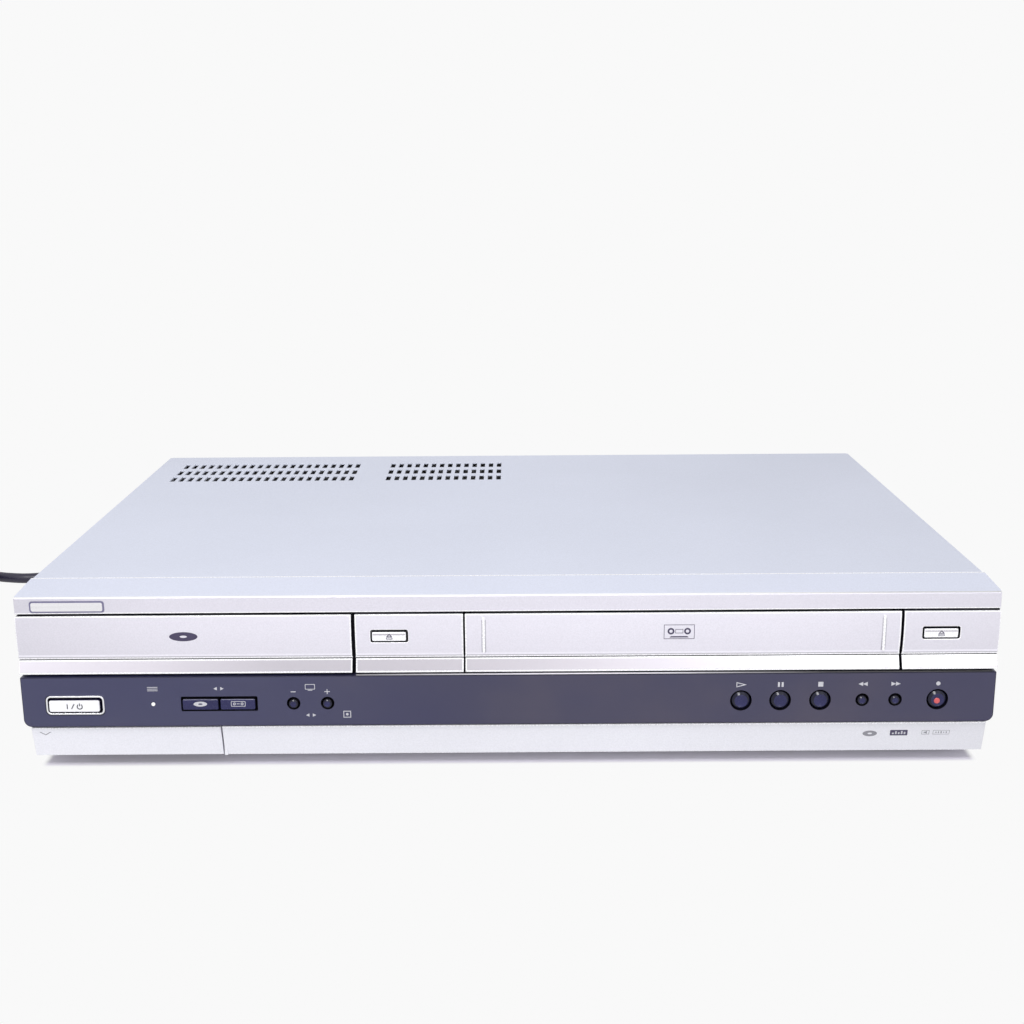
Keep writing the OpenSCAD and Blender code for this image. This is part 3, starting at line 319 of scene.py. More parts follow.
# ---------------------------------------------------------------- CAD shapes with softened edges
WELD = 2e-6                     # points of the CAD mesh nearer than this are one, in metres
FLAT = math.radians(0.4)        # faces that turn by less become one
ROUNDED = math.radians(28)      # edges that turn by more are rounded
SHARP = math.radians(35)        # faces that turn by more are shaded apart


def mesh_object(name, bm, materials):
    """An object made of a working mesh, which ends here."""
    mesh = bpy.data.meshes.new(name)
    bm.to_mesh(mesh)
    bm.free()
    for material in materials:
        mesh.materials.append(MAT[material])
    return bpy.data.objects.new(name, mesh)


def shade_smooth(obj, find_sharp=True):
    mesh = obj.data
    mesh.polygons.foreach_set("use_smooth", [True] * len(mesh.polygons))
    if find_sharp:
        mesh.set_sharp_from_angle(angle=SHARP)
    weighted = obj.modifiers.new("flat_faces", "WEIGHTED_NORMAL")
    weighted.keep_sharp = True


def place(obj, body):
    bpy.context.scene.collection.objects.link(obj)
    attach(obj, body)
    return obj


def dress(node, width, where=None, segments=3, materials=None, pick=None, edit=None, after=None):
    """A copy of a CAD solid whose sharp edges are rounded.

    where says which edges, by their two ends, and pick names the finish of a face, by its middle, its
    normal and whether the rounding made it. Both get millimetres. edit changes the mesh before the
    rounding and after changes it afterwards.
    """
    source = NODES[node]
    materials = materials or [slot_of[node]]
    bm = bmesh.new()
    bm.from_mesh(source.data)
    rim = bm.faces.layers.int.new("rim")
    bmesh.ops.remove_doubles(bm, verts=bm.verts, dist=WELD)
    bmesh.ops.dissolve_limit(bm, angle_limit=FLAT, use_dissolve_boundaries=False,
                             verts=bm.verts, edges=bm.edges)
    if edit:
        edit(bm)
    if width:
        edges = [e for e in bm.edges if len(e.link_faces) == 2 and e.is_convex
                 and e.calc_face_angle(0) > ROUNDED
                 and (where is None or where(*(v.co / MM for v in e.verts)))]
        rounded = bmesh.ops.bevel(bm, geom=edges, offset=width * MM, offset_type="OFFSET", segments=segments,
                                  profile=0.5, affect="EDGES", clamp_overlap=False, loop_slide=True)
        for face in rounded["faces"]:
            face[rim] = 1
    bmesh.ops.remove_doubles(bm, verts=bm.verts, dist=WELD / 2)
    bmesh.ops.recalc_face_normals(bm, faces=bm.faces)
    if after:
        after(bm)
    if pick:
        for face in bm.faces:
            finish = pick(face.calc_center_median() / MM, face.normal, face[rim])
            face.material_index = materials.index(finish)
    bmesh.ops.triangulate(bm, faces=[f for f in bm.faces if len(f.verts) > 4], ngon_method="BEAUTY")
    for edge in bm.edges:
        sides = edge.link_faces
        edge.smooth = (len(sides) == 2 and sides[0][rim] == sides[1][rim]
                       and edge.calc_face_angle(0) < SHARP)
    obj = mesh_object(node + "_dressed", bm, materials)
    shade_smooth(obj, find_sharp=False)
    place(obj, source["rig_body"])
    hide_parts(node)
    return obj


def spot(node):
    """Middle across and up, and foremost point, of a CAD node in millimetres."""
    low, high = (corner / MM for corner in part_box(node))
    return (low.x + high.x) / 2, low.y, (low.z + high.z) / 2


def cut(bm, axis, at):
    """Splits the faces that cross a plane, without opening them."""
    normal = Vector((0, 0, 0))
    normal[axis] = 1.0
    bmesh.ops.bisect_plane(bm, geom=bm.verts[:] + bm.edges[:] + bm.faces[:], plane_co=normal * at * MM,
                           plane_no=normal, dist=1e-7)


def faces_front(n):
    return n.y < -0.7


# ---------------------------------------------------------------- finishes of the front, with painted light and shade, in millimetres
DISC_SEAM = [-68.1]             # right edge of the disc door
FLAP_SEAMS = [-18.7, 172.0]     # both edges of the cassette flap
BEZEL_SEAMS = [-66.8, -19.2, 172.9]     # edges of the fixed panels beside them
SEAM_EDGE = 0.75                # width of the painted highlight beside an upright seam
GRIPS = (-10.4, 164.5)          # middles of the flap's two ribs
GRIP_HEIGHTS = (54.5, 71)
GRIP_SHADE = (0.5, 1.0)         # painted shadow from here to here beside the middle of a rib
GRIP_FRONT = -147.15            # above the crease, only the ribs stand out further than this, and their fronts take a painted highlight
ROUND_DEPTH = -142.3            # edges in front of this are rounded
PAINT_DEPTH = -145.6            # the doors' edges are silver this far back, with near-black painted shade behind
SKIN_DEPTH = -143               # faces in front of this belong to the front's skin
SIDE_X = 214                    # faces beyond this are on the player's sides
CREASE = (51.9, 53.8)           # heights that the crease takes up
CREASE_GAP = (52.0, 52.6)       # painted shade darkens the crease between these
LIP_EDGE = 46.95                # painted highlight on the lip's foot up to here
LIP_TOP = 51.5                  # and on its top from here
STEP = (53.2, 53.65)            # painted shadow in the step between the face and the bevel
FACE_FOOT = 54.6                # painted light brightens the face below this height
BAND_TOP = 72                   # the doors' upper edges lie above this
CAP_LOW = 73                    # everything above this is the cap
CAP_FOOT = 73.9                 # painted highlight on the cap's foot up to here
CAP_UNDER = 74                  # its underside lies below this
CAP_HIGH = 80                   # its top lies above this
CAP_FRONT = -145.5              # its front lies in front of this
CAP_BACK = -122.2               # painted highlight on its top behind this, along the seam to the cover
RAIL = (44.5, 45.4)             # heights of the rail between lip and dark panel
RAIL_FRONT = -146.7             # the rail's top has its painted reflection in front of this, painted shade behind
BEZEL_END = 212.9               # beside the dark panel, the bezel is silver beyond this, with painted shade black inside it
STRIP_HIGH = 22                 # everything below this is the lower strip
STRIP_EDGE = 19.7               # painted highlight on the strip's top from here
STRIP_LOW = 7                   # painted highlight on its rounded foot below this
BANDS = ["front_silver", "painted_shade_silver", "painted_shade_black", "painted_highlight_white", "painted_shadow_grey", "painted_light_silver"]


def at_front(p, q):
    """Whether an edge is in front and outside the crease."""
    if all(CREASE[0] < v.z < CREASE[1] for v in (p, q)):
        return False
    return max(p.y, q.y) < ROUND_DEPTH


def near_seam(x, seams, width=SEAM_EDGE):
    return any(abs(x - at) < width for at in seams)


def front_cuts(seams):
    """Lines on the front where its finish and its painted light and shade change."""
    def split(bm):
        cut(bm, 1, PAINT_DEPTH)
        for z in (STRIP_EDGE, LIP_EDGE, LIP_TOP, *STEP, FACE_FOOT, CAP_FOOT):
            cut(bm, 2, z)
        for x in seams:
            for side in (-SEAM_EDGE, SEAM_EDGE):
                cut(bm, 0, x + side)
        if seams == FLAP_SEAMS:
            for x in GRIPS:
                for side in (-GRIP_SHADE[1], GRIP_SHADE[1]):
                    cut(bm, 0, x + side)
        if seams == BEZEL_SEAMS:
            cut(bm, 1, RAIL_FRONT)
            cut(bm, 1, CAP_BACK)
    return split


def face_finish(c, n, rim, seams):
    """Finish of the band that the two doors and the fixed panels beside them share: silver with painted
    highlights on edges, seams and ribs, painted shade in gaps, crease and lip, and painted shadow in the
    step and beside the ribs.
    """
    if abs(n.x) > 0.6 and near_seam(c.x, seams, 0.6):
        return "painted_shade_black"
    if CREASE_GAP[0] < c.z < CREASE_GAP[1] and c.y > PAINT_DEPTH:
        return "painted_shade_black"
    if c.y > PAINT_DEPTH:
        return "painted_shade_black" if abs(c.x) < SIDE_X + 0.3 else "front_silver"
    if rim and (c.z > 54.3 or c.z < 52) or c.z < LIP_EDGE or near_seam(c.x, seams):
        return "painted_highlight_white"
    if n.z > 0.7 and c.z > BAND_TOP:
        return "painted_highlight_white"
    if c.y < GRIP_FRONT and c.z > 54:
        return "painted_highlight_white"
    if (GRIP_HEIGHTS[0] < c.z < GRIP_HEIGHTS[1]
            and any(GRIP_SHADE[0] < abs(c.x - x) < GRIP_SHADE[1] for x in GRIPS)):
        return "painted_shadow_grey"
    if c.z < 52.3:
        return "painted_highlight_white" if c.z > LIP_TOP else "painted_shade_silver"
    if c.z < STEP[0]:
        return "painted_highlight_white"
    if c.z < STEP[1]:
        return "painted_shadow_grey"
    return "painted_light_silver" if c.z < FACE_FOOT else "front_silver"


def door_finish(seams):
    return lambda c, n, rim: face_finish(c, n, rim, seams)


# The cap: painted shade black underneath, and painted highlights on its upper front edge, its foot and the
# seam to the cover.
def cap_finish(c, n):
    if n.z < -0.6 and c.z < CAP_UNDER:
        return "painted_shade_black"
    if c.z > CAP_HIGH and n.z > 0.6 and -0.8 < n.y < -0.2:
        return "cap_painted_highlight"
    if c.z > CAP_HIGH and n.z > 0.9:
        return "painted_highlight_white" if c.y > CAP_BACK else "cap_top"
    if c.z < CAP_FOOT and c.y < CAP_FRONT:
        return "painted_highlight_white"
    return "cap_silver" if c.y < CAP_FRONT or c.z > CAP_UNDER or abs(c.x) > SIDE_X else "painted_shade_black"


# The bezel: painted shade black in its gaps and under the lip, a painted reflection on the rail and painted
# highlights on the strip's edges.
def bezel_finish(c, n, rim):
    if c.z > CAP_LOW:
        return cap_finish(c, n)
    if c.z < STRIP_HIGH:
        top = c.z > STRIP_EDGE and c.y < -141.5
        return "painted_highlight_white" if top or rim and c.z < STRIP_LOW and c.y < -138 else "strip_silver"
    if RAIL[0] < c.z < RAIL[1] and c.y < SKIN_DEPTH:
        return "rail_painted_reflection" if c.y < RAIL_FRONT else "painted_shade_black"
    if abs(n.y) < 0.3 and 55 < c.z < 70 and c.y < SKIN_DEPTH:
        return "painted_shade_black"
    if c.z < RAIL[1]:
        return "front_silver" if abs(c.x) > BEZEL_END else "painted_shade_black"
    return face_finish(c, n, rim, BEZEL_SEAMS)


# The input door: painted highlights on its top and its rounded foot.
def strip_door_finish(c, n, rim):
    top = c.z > STRIP_EDGE - 0.3 and c.y < -141
    return "painted_highlight_white" if top or rim and c.z < STRIP_LOW else "strip_silver"


dress("top_cover", 0.2)
dress("front_bezel", 0.35, where=at_front, pick=bezel_finish, after=front_cuts(BEZEL_SEAMS),
      materials=BANDS + ["cap_silver", "cap_painted_highlight", "strip_silver", "rail_painted_reflection", "cap_top"])
for name, seams in (("tray_front", DISC_SEAM), ("tape_flap", FLAP_SEAMS)):
    dress(name, 0.4, where=at_front, materials=BANDS, pick=door_finish(seams), after=front_cuts(seams))
dress("input_door", 0.3, where=lambda p, q: max(p.y, q.y) < -138, materials=["strip_silver", "painted_highlight_white"],
      after=lambda bm: cut(bm, 2, STRIP_EDGE), pick=strip_door_finish)

# ---------------------------------------------------------------- dark panel and its buttons
PANEL_SIDE = 207                # the panel's holes lie between these lines
PANEL_FOOT, PANEL_HEAD = 25.3, 43
BUTTON_FRONT = -146.5           # the fronts of the eject and select buttons lie in front of this
RING_OPENING = (12.45, 4.0)     # half width and half height of the opening in the power button's ring
SHOULDER_EDGE = 0.12            # width of the rounded edge of a round button's shoulder
SLOPE_SHARES = (0.14, 0.86)     # how the shoulder's height is shared by that edge and the slope
DISH_SHARES = (0.4, 0.3, 0.2, 0.1)      # how a dish's depth is shared by its steps, from the edge inward
SMALL_SHIFT = (-0.05, -0.22)    # the fronts of the small round buttons move by this


def panel_regions(bm):
    """Parts the panel's border from the middle with the holes, so that its rounding stays even."""
    for axis, at in ((0, -PANEL_SIDE), (0, PANEL_SIDE), (2, PANEL_FOOT), (2, PANEL_HEAD)):
        cut(bm, axis, at)
    for face in bm.faces:
        c = face.calc_center_median() / MM
        if abs(c.x) >= PANEL_SIDE:
            region = 2 if c.x < 0 else 1
        elif c.z < PANEL_FOOT:
            region = 3
        else:
            region = 4 if c.z > PANEL_HEAD else 0
        face.material_index = region
    bmesh.ops.dissolve_limit(bm, angle_limit=FLAT, use_dissolve_boundaries=False, delimit={"MATERIAL"},
                             verts=bm.verts, edges=bm.edges)


def panel_border(p, q):
    """Whether an edge lies outside the middle with the holes."""
    return min(p.z, q.z) > PANEL_HEAD or max(p.z, q.z) < 27 or min(abs(p.x), abs(q.x)) > PANEL_SIDE


# Painted shade on the panel's rounded edges, and painted shade black in its holes and behind it.
def panel_finish(c, n, rim):
    if rim and abs(n.y) < 0.98:
        return "panel_painted_shade_edge"
    in_hole = abs(n.y) < 0.7 and abs(c.x) < SIDE_X and 22 < c.z < 44
    return "painted_shade_black" if in_hole or c.y > -144 else "panel_dark"


# Painted shade navy inside the ring's opening.
def ring_finish(c, n, rim):
    x, _, z = spot("power_button_ring")
    inner = abs(c.x - x) < RING_OPENING[0] and abs(c.z - z) < RING_OPENING[1]
    return "painted_shade_navy" if inner and not rim and abs(n.y) < 0.7 else "ring_bright"


# Painted shade navy on the power button's sides.
def power_finish(c, n, rim):
    return "button_white" if rim or faces_front(n) and c.y < -147 else "painted_shade_navy"


# Painted highlight on the select buttons' upper edges, and painted shade black on their sides.
def select_finish(c, n, rim):
    if rim and n.z > 0.35:
        return "button_painted_highlight"
    return "button_dark" if rim or faces_front(n) and c.y < BUTTON_FRONT else "painted_shade_black"


# Eject buttons: the white of the painted highlights on their fronts and rims, a band of painted shade across
# them, and painted shade black on their sides.
def eject_finish(c, n, rim):
    low, high = EJECT_LINE
    if not rim and faces_front(n) and low < c.z < high:
        return "painted_shade_silver"
    edge = rim and n.z < 0.8 and abs(n.x) < 0.8
    return "painted_highlight_white" if edge or faces_front(n) and c.y < BUTTON_FRONT else "painted_shade_black"


def nudge(node, left=0.0, right=0.0, top=0.0, bottom=0.0):
    """Moves the sides of the front of a button's copy, in millimetres."""
    x, front, z = spot(node)

    def shape(bm):
        for v in bm.verts:
            if v.co.y / MM > front + 4:
                continue
            dx, dz = v.co.x / MM - x, v.co.z / MM - z
            v.co.x += (left if dx < 0 else right) * MM
            v.co.z += (bottom if dz < 0 else top) * MM
    return shape


def split_at(levels):
    """Cuts a button's copy across at some heights."""
    def shape(bm):
        for z in levels:
            cut(bm, 2, z)
    return shape


def round_top(node, r, shoulder, inner, hollow, shift=(0.0, 0.0)):
    """A round button's front: a sloping shoulder round a shallow dish."""
    x, front, z = spot(node)

    def shape(bm):
        for v in bm.verts:
            if v.co.y / MM < front + 3:
                dx, dz = v.co.x / MM - x, v.co.z / MM - z
                k = r / math.hypot(dx, dz)
                v.co.x, v.co.z = (x + shift[0] + dx * k) * MM, (z + shift[1] + dz * k) * MM
        top = min(bm.faces, key=lambda f: f.calc_center_median().y)
        for v in top.verts:
            v.co.y += shoulder * MM
        rows = [(SHOULDER_EDGE, -SLOPE_SHARES[0] * shoulder),
                (r - inner - SHOULDER_EDGE, -SLOPE_SHARES[1] * shoulder)]
        rows += [(inner * 0.8 / len(DISH_SHARES), hollow * share) for share in DISH_SHARES]
        for thickness, back in rows:
            bmesh.ops.inset_region(bm, faces=[top], thickness=thickness * MM, use_even_offset=True)
            for v in top.verts:
                v.co.y += back * MM
    return shape


# Painted shade on each round button's shoulder, and painted shade black on its sides.
def round_finish(node, r, shift=(0.0, 0.0)):
    x, front, z = spot(node)

    def pick(c, n, rim):
        if c.y > front + 1.2:
            return "painted_shade_black"
        return "button_dark" if math.hypot(c.x - x - shift[0], c.z - z - shift[1]) < r else "button_painted_shade_rim"
    return pick


dress("control_panel", 0.4, materials=["panel_dark", "panel_painted_shade_edge", "painted_shade_black"], pick=panel_finish,
      edit=panel_regions, where=panel_border)
dress("power_button", 0.5, segments=4, materials=["button_white", "painted_shade_navy"], pick=power_finish,
      edit=nudge("power_button", left=0.35, right=-0.2, top=-0.4, bottom=0.4))
# Heights of a band of darker silver across each eject button: painted shade.
EJECT_LINE = (spot("disc_eject_button")[2] + 0.5, spot("disc_eject_button")[2] + 1.15)
for name in ("disc_eject_button", "tape_eject_button"):
    dress(name, 0.4, materials=["painted_highlight_white", "painted_shade_black", "painted_shade_silver"], pick=eject_finish,
          edit=nudge(name, right=-0.2, top=-0.2), after=split_at(EJECT_LINE))
for name, inward in (("disc_select_button", 0.0), ("tape_select_button", -0.5)):
    dress(name, 0.4, materials=["button_dark", "painted_shade_black", "button_painted_highlight"], pick=select_finish,
          edit=nudge(name, right=inward, top=-0.55, bottom=-0.1))
ROUND_FINISHES = ["button_dark", "button_painted_shade_rim", "painted_shade_black"]
for name in ("play_button", "pause_button", "stop_button", "record_button"):
    dress(name, 0, after=round_top(name, 4.0, 0.92, 2.9, 0.5), materials=ROUND_FINISHES,
          pick=round_finish(name, 2.85))
for name in ("channel_down_button", "channel_up_button", "rewind_button", "fast_forward_button"):
    dress(name, 0, after=round_top(name, 1.95, 0.5, 1.35, 0.25, SMALL_SHIFT), materials=ROUND_FINISHES,
          pick=round_finish(name, 1.3, SMALL_SHIFT))
dress("power_button_ring", 0.25, materials=["ring_bright", "painted_shade_navy"], pick=ring_finish,
      edit=nudge("power_button_ring", left=0.5, bottom=0.5))
dress("feet", 0.4)
plug = dress("mains_plug", 0.8)
dress("disc_tray", 0.3, where=lambda p, q: min(p.z, q.z) > 55.5)

# ---------------------------------------------------------------- sockets
JACK_FINISHES = ["black_plastic", "nickel", "jack_yellow", "jack_white", "jack_red", "jack_green",
                 "jack_blue", "jack_orange"]
REAR_JACKS = {(160, 56): "jack_yellow", (160, 34): "jack_yellow", (146, 56): "jack_white",
              (146, 34): "jack_white", (132, 56): "jack_red", (132, 34): "jack_red",
              (108, 56): "jack_green", (94, 56): "jack_blue", (80, 56): "jack_red", (108, 34): "jack_orange"}
FRONT_COLOURS = {"front_in_video": "jack_yellow", "front_in_left": "jack_white",
                 "front_in_right": "jack_red"}
FRONT_JACKS = {(m["pos_m"][0] / MM, m["pos_m"][2] / MM): FRONT_COLOURS[m["name"]]
               for m in frame["record"]["mounts"] if m["name"] in FRONT_COLOURS}


def jack_finish(jacks, in_housing):
    """Nickel shells with a coloured insert round each socket's axis, in a black housing."""
    def pick(c, n, rim):
        if in_housing(c):
            return "black_plastic"
        for (x, z), colour in jacks.items():
            r = math.hypot(c.x - x, c.z - z)
            if r < 5:
                return "nickel" if r > 3.3 or r < 1.85 and abs(n.y) < 0.5 else colour
        return "nickel"
    return pick


dress("rear_jacks", 0.12, where=lambda p, q: min(p.y, q.y) > 140.5, materials=JACK_FINISHES,
      pick=jack_finish(REAR_JACKS, lambda c: c.y < 139.5 or 72 < c.x < 101 and c.z < 45))
dress("front_input_jacks", 0.12, materials=JACK_FINISHES, where=lambda p, q: max(p.y, q.y) < -130,
      pick=jack_finish(FRONT_JACKS, lambda c: c.y > -132))

# ---------------------------------------------------------------- parts on the boards
BOARD_TOP = 15.7        # what stands higher than this is a component
SUPPLY_PARTS = {
    (-120, -84, 66, 100): "black_plastic",          # transformer
    (-146, -143, 80, 120): "machined_aluminium",    # heat sinks
    (-78, -75, 60, 100): "machined_aluminium",
    (-196, -176, 100, 126): "jack_yellow",          # mains filter
}
MAIN_PARTS = {
    (168, 206, 80, 126): "sheet_steel",             # tuner
    (84, 106, 90, 112): "black_plastic",            # chips
    (40, 54, 92, 104): "black_plastic",
    (0, 20, 105, 130): "white_nylon",               # connector
}


def dress_board(node, board, parts):
    """A board: its own finish, one for each box of (x, x, y, y), and round cans with bright tops."""
    def pick(c, n, rim):
        if c.z < BOARD_TOP:
            return board
        for (x0, x1, y0, y1), finish in parts.items():
            if x0 - 0.1 < c.x < x1 + 0.1 and y0 - 0.1 < c.y < y1 + 0.1:
                return finish
        return "machined_aluminium" if n.z > 0.7 else "cord_black"

    finishes = [board, "cord_black", "machined_aluminium"]
    finishes += [finish for finish in dict.fromkeys(parts.values()) if finish not in finishes]
    dress(node, 0.25, materials=finishes, pick=pick, where=lambda p, q: min(p.z, q.z) > BOARD_TOP)


dress_board("power_supply", "supply_board", SUPPLY_PARTS)
dress_board("main_board", "circuit_board", MAIN_PARTS)
SWITCH_DEPTH = 1.65     # the board's thickness and a little more
switch_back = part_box("front_board")[1].y / MM - SWITCH_DEPTH
dress("front_board", 0.2, materials=["circuit_board", "black_plastic"],
      where=lambda p, q: max(p.y, q.y) < switch_back,
      pick=lambda c, n, rim: "black_plastic" if c.y < switch_back else "circuit_board")
lens_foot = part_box("optical_pickup")[1].z / MM - 0.8
dress("optical_pickup", 0.25, materials=["black_plastic", "display_glass"],
      pick=lambda c, n, rim: "display_glass" if c.z > lens_foot else "black_plastic")

# ---------------------------------------------------------------- shapes of the marks
CORNER_POINTS = 5       # on each rounded corner of a box
ARC_STEPS = 18
FINER_PARTS = 6         # each side of a mark on a curved front is split into this many


def circle(x, z, r, rz=None, n=28):
    return [(x + r * math.cos(math.tau * i / n), z + (rz or r) * math.sin(math.tau * i / n))
            for i in range(n)]


def box(x, z, w, h, r=0.0):
    if not r:
        return [(x - w / 2, z - h / 2), (x + w / 2, z - h / 2), (x + w / 2, z + h / 2),
                (x - w / 2, z + h / 2)]
    points = []
    for k, (sx, sz) in enumerate(((1, 1), (-1, 1), (-1, -1), (1, -1))):
        for i in range(CORNER_POINTS):
            a = math.radians(90 * k + 90 * i / (CORNER_POINTS - 1))
            points.append((x + sx * (w / 2 - r) + r * math.cos(a), z + sz * (h / 2 - r) + r * math.sin(a)))
    return points


def solid(points):
    return points, None


def outlined(x, z, w, h, line, **more):
    """A box's outline with a line of even width."""
    return box(x, z, w, h, **more), box(x, z, w - line, h - line, **more)


def triangle(x, z, w, h, to):
    """A triangle that points to the right for 1 and to the left for -1."""
    return [(x - to * w / 2, z - h / 2), (x + to * w / 2, z), (x - to * w / 2, z + h / 2)][::to]


def arc(x, z, r, line, start, stop):
    turns = [math.radians(start + (stop - start) * i / ARC_STEPS) for i in range(ARC_STEPS + 1)]
    return ([(x + r * math.cos(a), z + r * math.sin(a)) for a in turns]
            + [(x + (r - line) * math.cos(a), z + (r - line) * math.sin(a)) for a in reversed(turns)])


def finer(loop):
    """A loop with more points on each of its sides."""
    shares = [i / FINER_PARTS for i in range(FINER_PARTS)]
    return [((1 - t) * x0 + t * x1, (1 - t) * z0 + t * z1)
            for (x0, z0), (x1, z1) in zip(loop, loop[1:] + loop[:1]) for t in shares]


def join(bm, first, second):
    """Faces between two closed rows of points."""
    for i in range(len(first)):
        j = (i + 1) % len(first)
        bm.faces.new((first[i], first[j], second[j], second[i]))


def marks(name, node, material, front, shapes, thick=0.05, curved=False):
    """Thin printed or raised shapes on a front, whose depth at a height is front(z)."""
    bm = bmesh.new()
    for outer, inner in shapes:
        rows = []
        for loop in (outer, inner) if inner else (outer,):
            loop = finer(loop) if curved else loop
            face = [bm.verts.new((x * MM, (front(z) - thick) * MM, z * MM)) for x, z in loop]
            back = [bm.verts.new((x * MM, (front(z) + 0.05) * MM, z * MM)) for x, z in loop]
            rows.append((face, back))
            join(bm, face, back)
        for side in (0, 1):
            if inner:
                join(bm, rows[0][side], rows[1][side])
            else:
                bm.faces.new(rows[0][side])
    bmesh.ops.recalc_face_normals(bm, faces=bm.faces)
    place(mesh_object(name, bm, [material]), NODES[node]["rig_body"])


def pad(name, node, material, x, z, y, r, height):
    """A low domed pad."""
    rings, n = 5, 36
    bm = bmesh.new()

    def ring(radius, depth):
        return [bm.verts.new((px * MM, depth * MM, pz * MM)) for px, pz in circle(x, z, radius, n=n)]

    rows = [ring(r, y + 0.3)]
    for k in range(rings):
        a = math.pi / 2 * k / rings
        rows.append(ring(r * math.cos(a), y - height * math.sin(a)))
    for first, second in zip(rows, rows[1:]):
        join(bm, first, second)
    bm.faces.new(rows[0])
    bm.faces.new(rows[-1])
    bmesh.ops.recalc_face_normals(bm, faces=bm.faces)
    obj = mesh_object(name, bm, [material])
    shade_smooth(obj)
    place(obj, NODES[node]["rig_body"])


def door_face(z):
    """Depth of the doors' bulging faces."""
    return -147 + 0.0075 * (z - 64.5) ** 2


def strip_face(z):
    """Depth of the lower strip, which leans back at its foot."""
    return -146 + 3.5 * (20.5 - z) / 15


def cap_face(z):
    """Depth of the cap's upright front, the same at every height."""
    return -146.0


def flat(node):
    y = spot(node)[1]
    return lambda z: y


# ---------------------------------------------------------------- marks on the dark panel
row_z = spot("play_button")[2]
icon_z = row_z + 7.4
label_z = icon_z - 0.3
sign_z = row_z + 5.4
play_x, pause_x, stop_x, rewind_x, forward_x, record_x, down_x, up_x = (
    spot(name + "_button")[0] for name in ("play", "pause", "stop", "rewind", "fast_forward", "record",
                                           "channel_down", "channel_up"))
lamp_x = spot("status_lamp")[0]
disc_select_x, tape_select_x = spot("disc_select_button")[0], spot("tape_select_button")[0]
select_x = (disc_select_x + tape_select_x) / 2
channel_x = (down_x + up_x) / 2
square_x, square_z = -71.2, row_z - 5.3
marks("panel_marks", "control_panel", "print_white", flat("control_panel"), [
    ([(play_x - 2.2, icon_z - 1.25), (play_x + 2.3, icon_z), (play_x - 2.2, icon_z + 1.25)],
     [(play_x - 1.85, icon_z - 0.77), (play_x + 0.95, icon_z), (play_x - 1.85, icon_z + 0.77)]),
    *[solid(box(pause_x + dx, icon_z, 0.9, 2.2)) for dx in (-0.82, 0.82)],
    solid(box(stop_x, icon_z, 2.25, 2.2)),
    *[solid(triangle(rewind_x + dx, icon_z, 2.1, 1.9, -1)) for dx in (-1.0, 1.0)],
    *[solid(triangle(forward_x + dx, icon_z, 2.1, 1.9, 1)) for dx in (-1.0, 1.0)],
    solid(circle(record_x, icon_z, 0.95)),
    solid(box(down_x, sign_z, 2.2, 0.35)),
    solid(box(up_x, sign_z, 2.4, 0.35)),
    solid(box(up_x, row_z + 6.05, 0.35, 0.95)),
    solid(box(up_x, row_z + 4.75, 0.35, 0.95)),
    outlined(channel_x, label_z + 0.6, 4.4, 2.5, 0.55, r=0.3),
    solid(box(channel_x, label_z - 1.0, 2.0, 0.3)),
    *[solid(triangle(channel_x + s * 1.5, row_z - 5.6, 1.5, 1.5, s)) for s in (-1, 1)],
    *[solid(box(lamp_x, label_z + dz, 4.6, 0.3)) for dz in (-0.8, 0, 0.8)],
    *[solid(triangle(select_x + s * 1.5, label_z, 1.5, 1.6, s)) for s in (-1, 1)],
    outlined(square_x, square_z, 3.4, 3.2, 0.7),
    solid(circle(square_x, square_z, 0.6, n=16)),
])
marks("disc_select_mark", "disc_select_button", "print_white", flat("disc_select_button"), [
    (circle(disc_select_x, row_z, 3.0, 1.15, n=36), circle(disc_select_x, row_z, 0.95, 0.36, n=36)),
], thick=0.03)
marks("tape_select_mark", "tape_select_button", "print_white", flat("tape_select_button"), [
    outlined(tape_select_x, row_z, 6.4, 2.5, 0.5, r=0.3),
    *[(circle(tape_select_x + dx, row_z, 0.62), circle(tape_select_x + dx, row_z, 0.3))
      for dx in (-1.7, 1.7)],
    solid(box(tape_select_x, row_z, 1.5, 0.3)),
], thick=0.03)
power_x, _, power_z = spot("power_button")
glyph_x, glyph_z = power_x - 0.2, power_z
marks("power_mark", "power_button", "print_grey", flat("power_button"), [
    solid(box(glyph_x - 3.0, glyph_z, 0.42, 2.3)),
    solid([(glyph_x - 1.45, glyph_z - 1.15), (glyph_x - 0.95, glyph_z - 1.15),
           (glyph_x + 0.35, glyph_z + 1.15), (glyph_x - 0.15, glyph_z + 1.15)]),
    solid(arc(glyph_x + 2.5, glyph_z - 0.1, 1.35, 0.45, 125, 415)),
    solid(box(glyph_x + 2.5, glyph_z + 0.75, 0.42, 1.3)),
], thick=0.0)

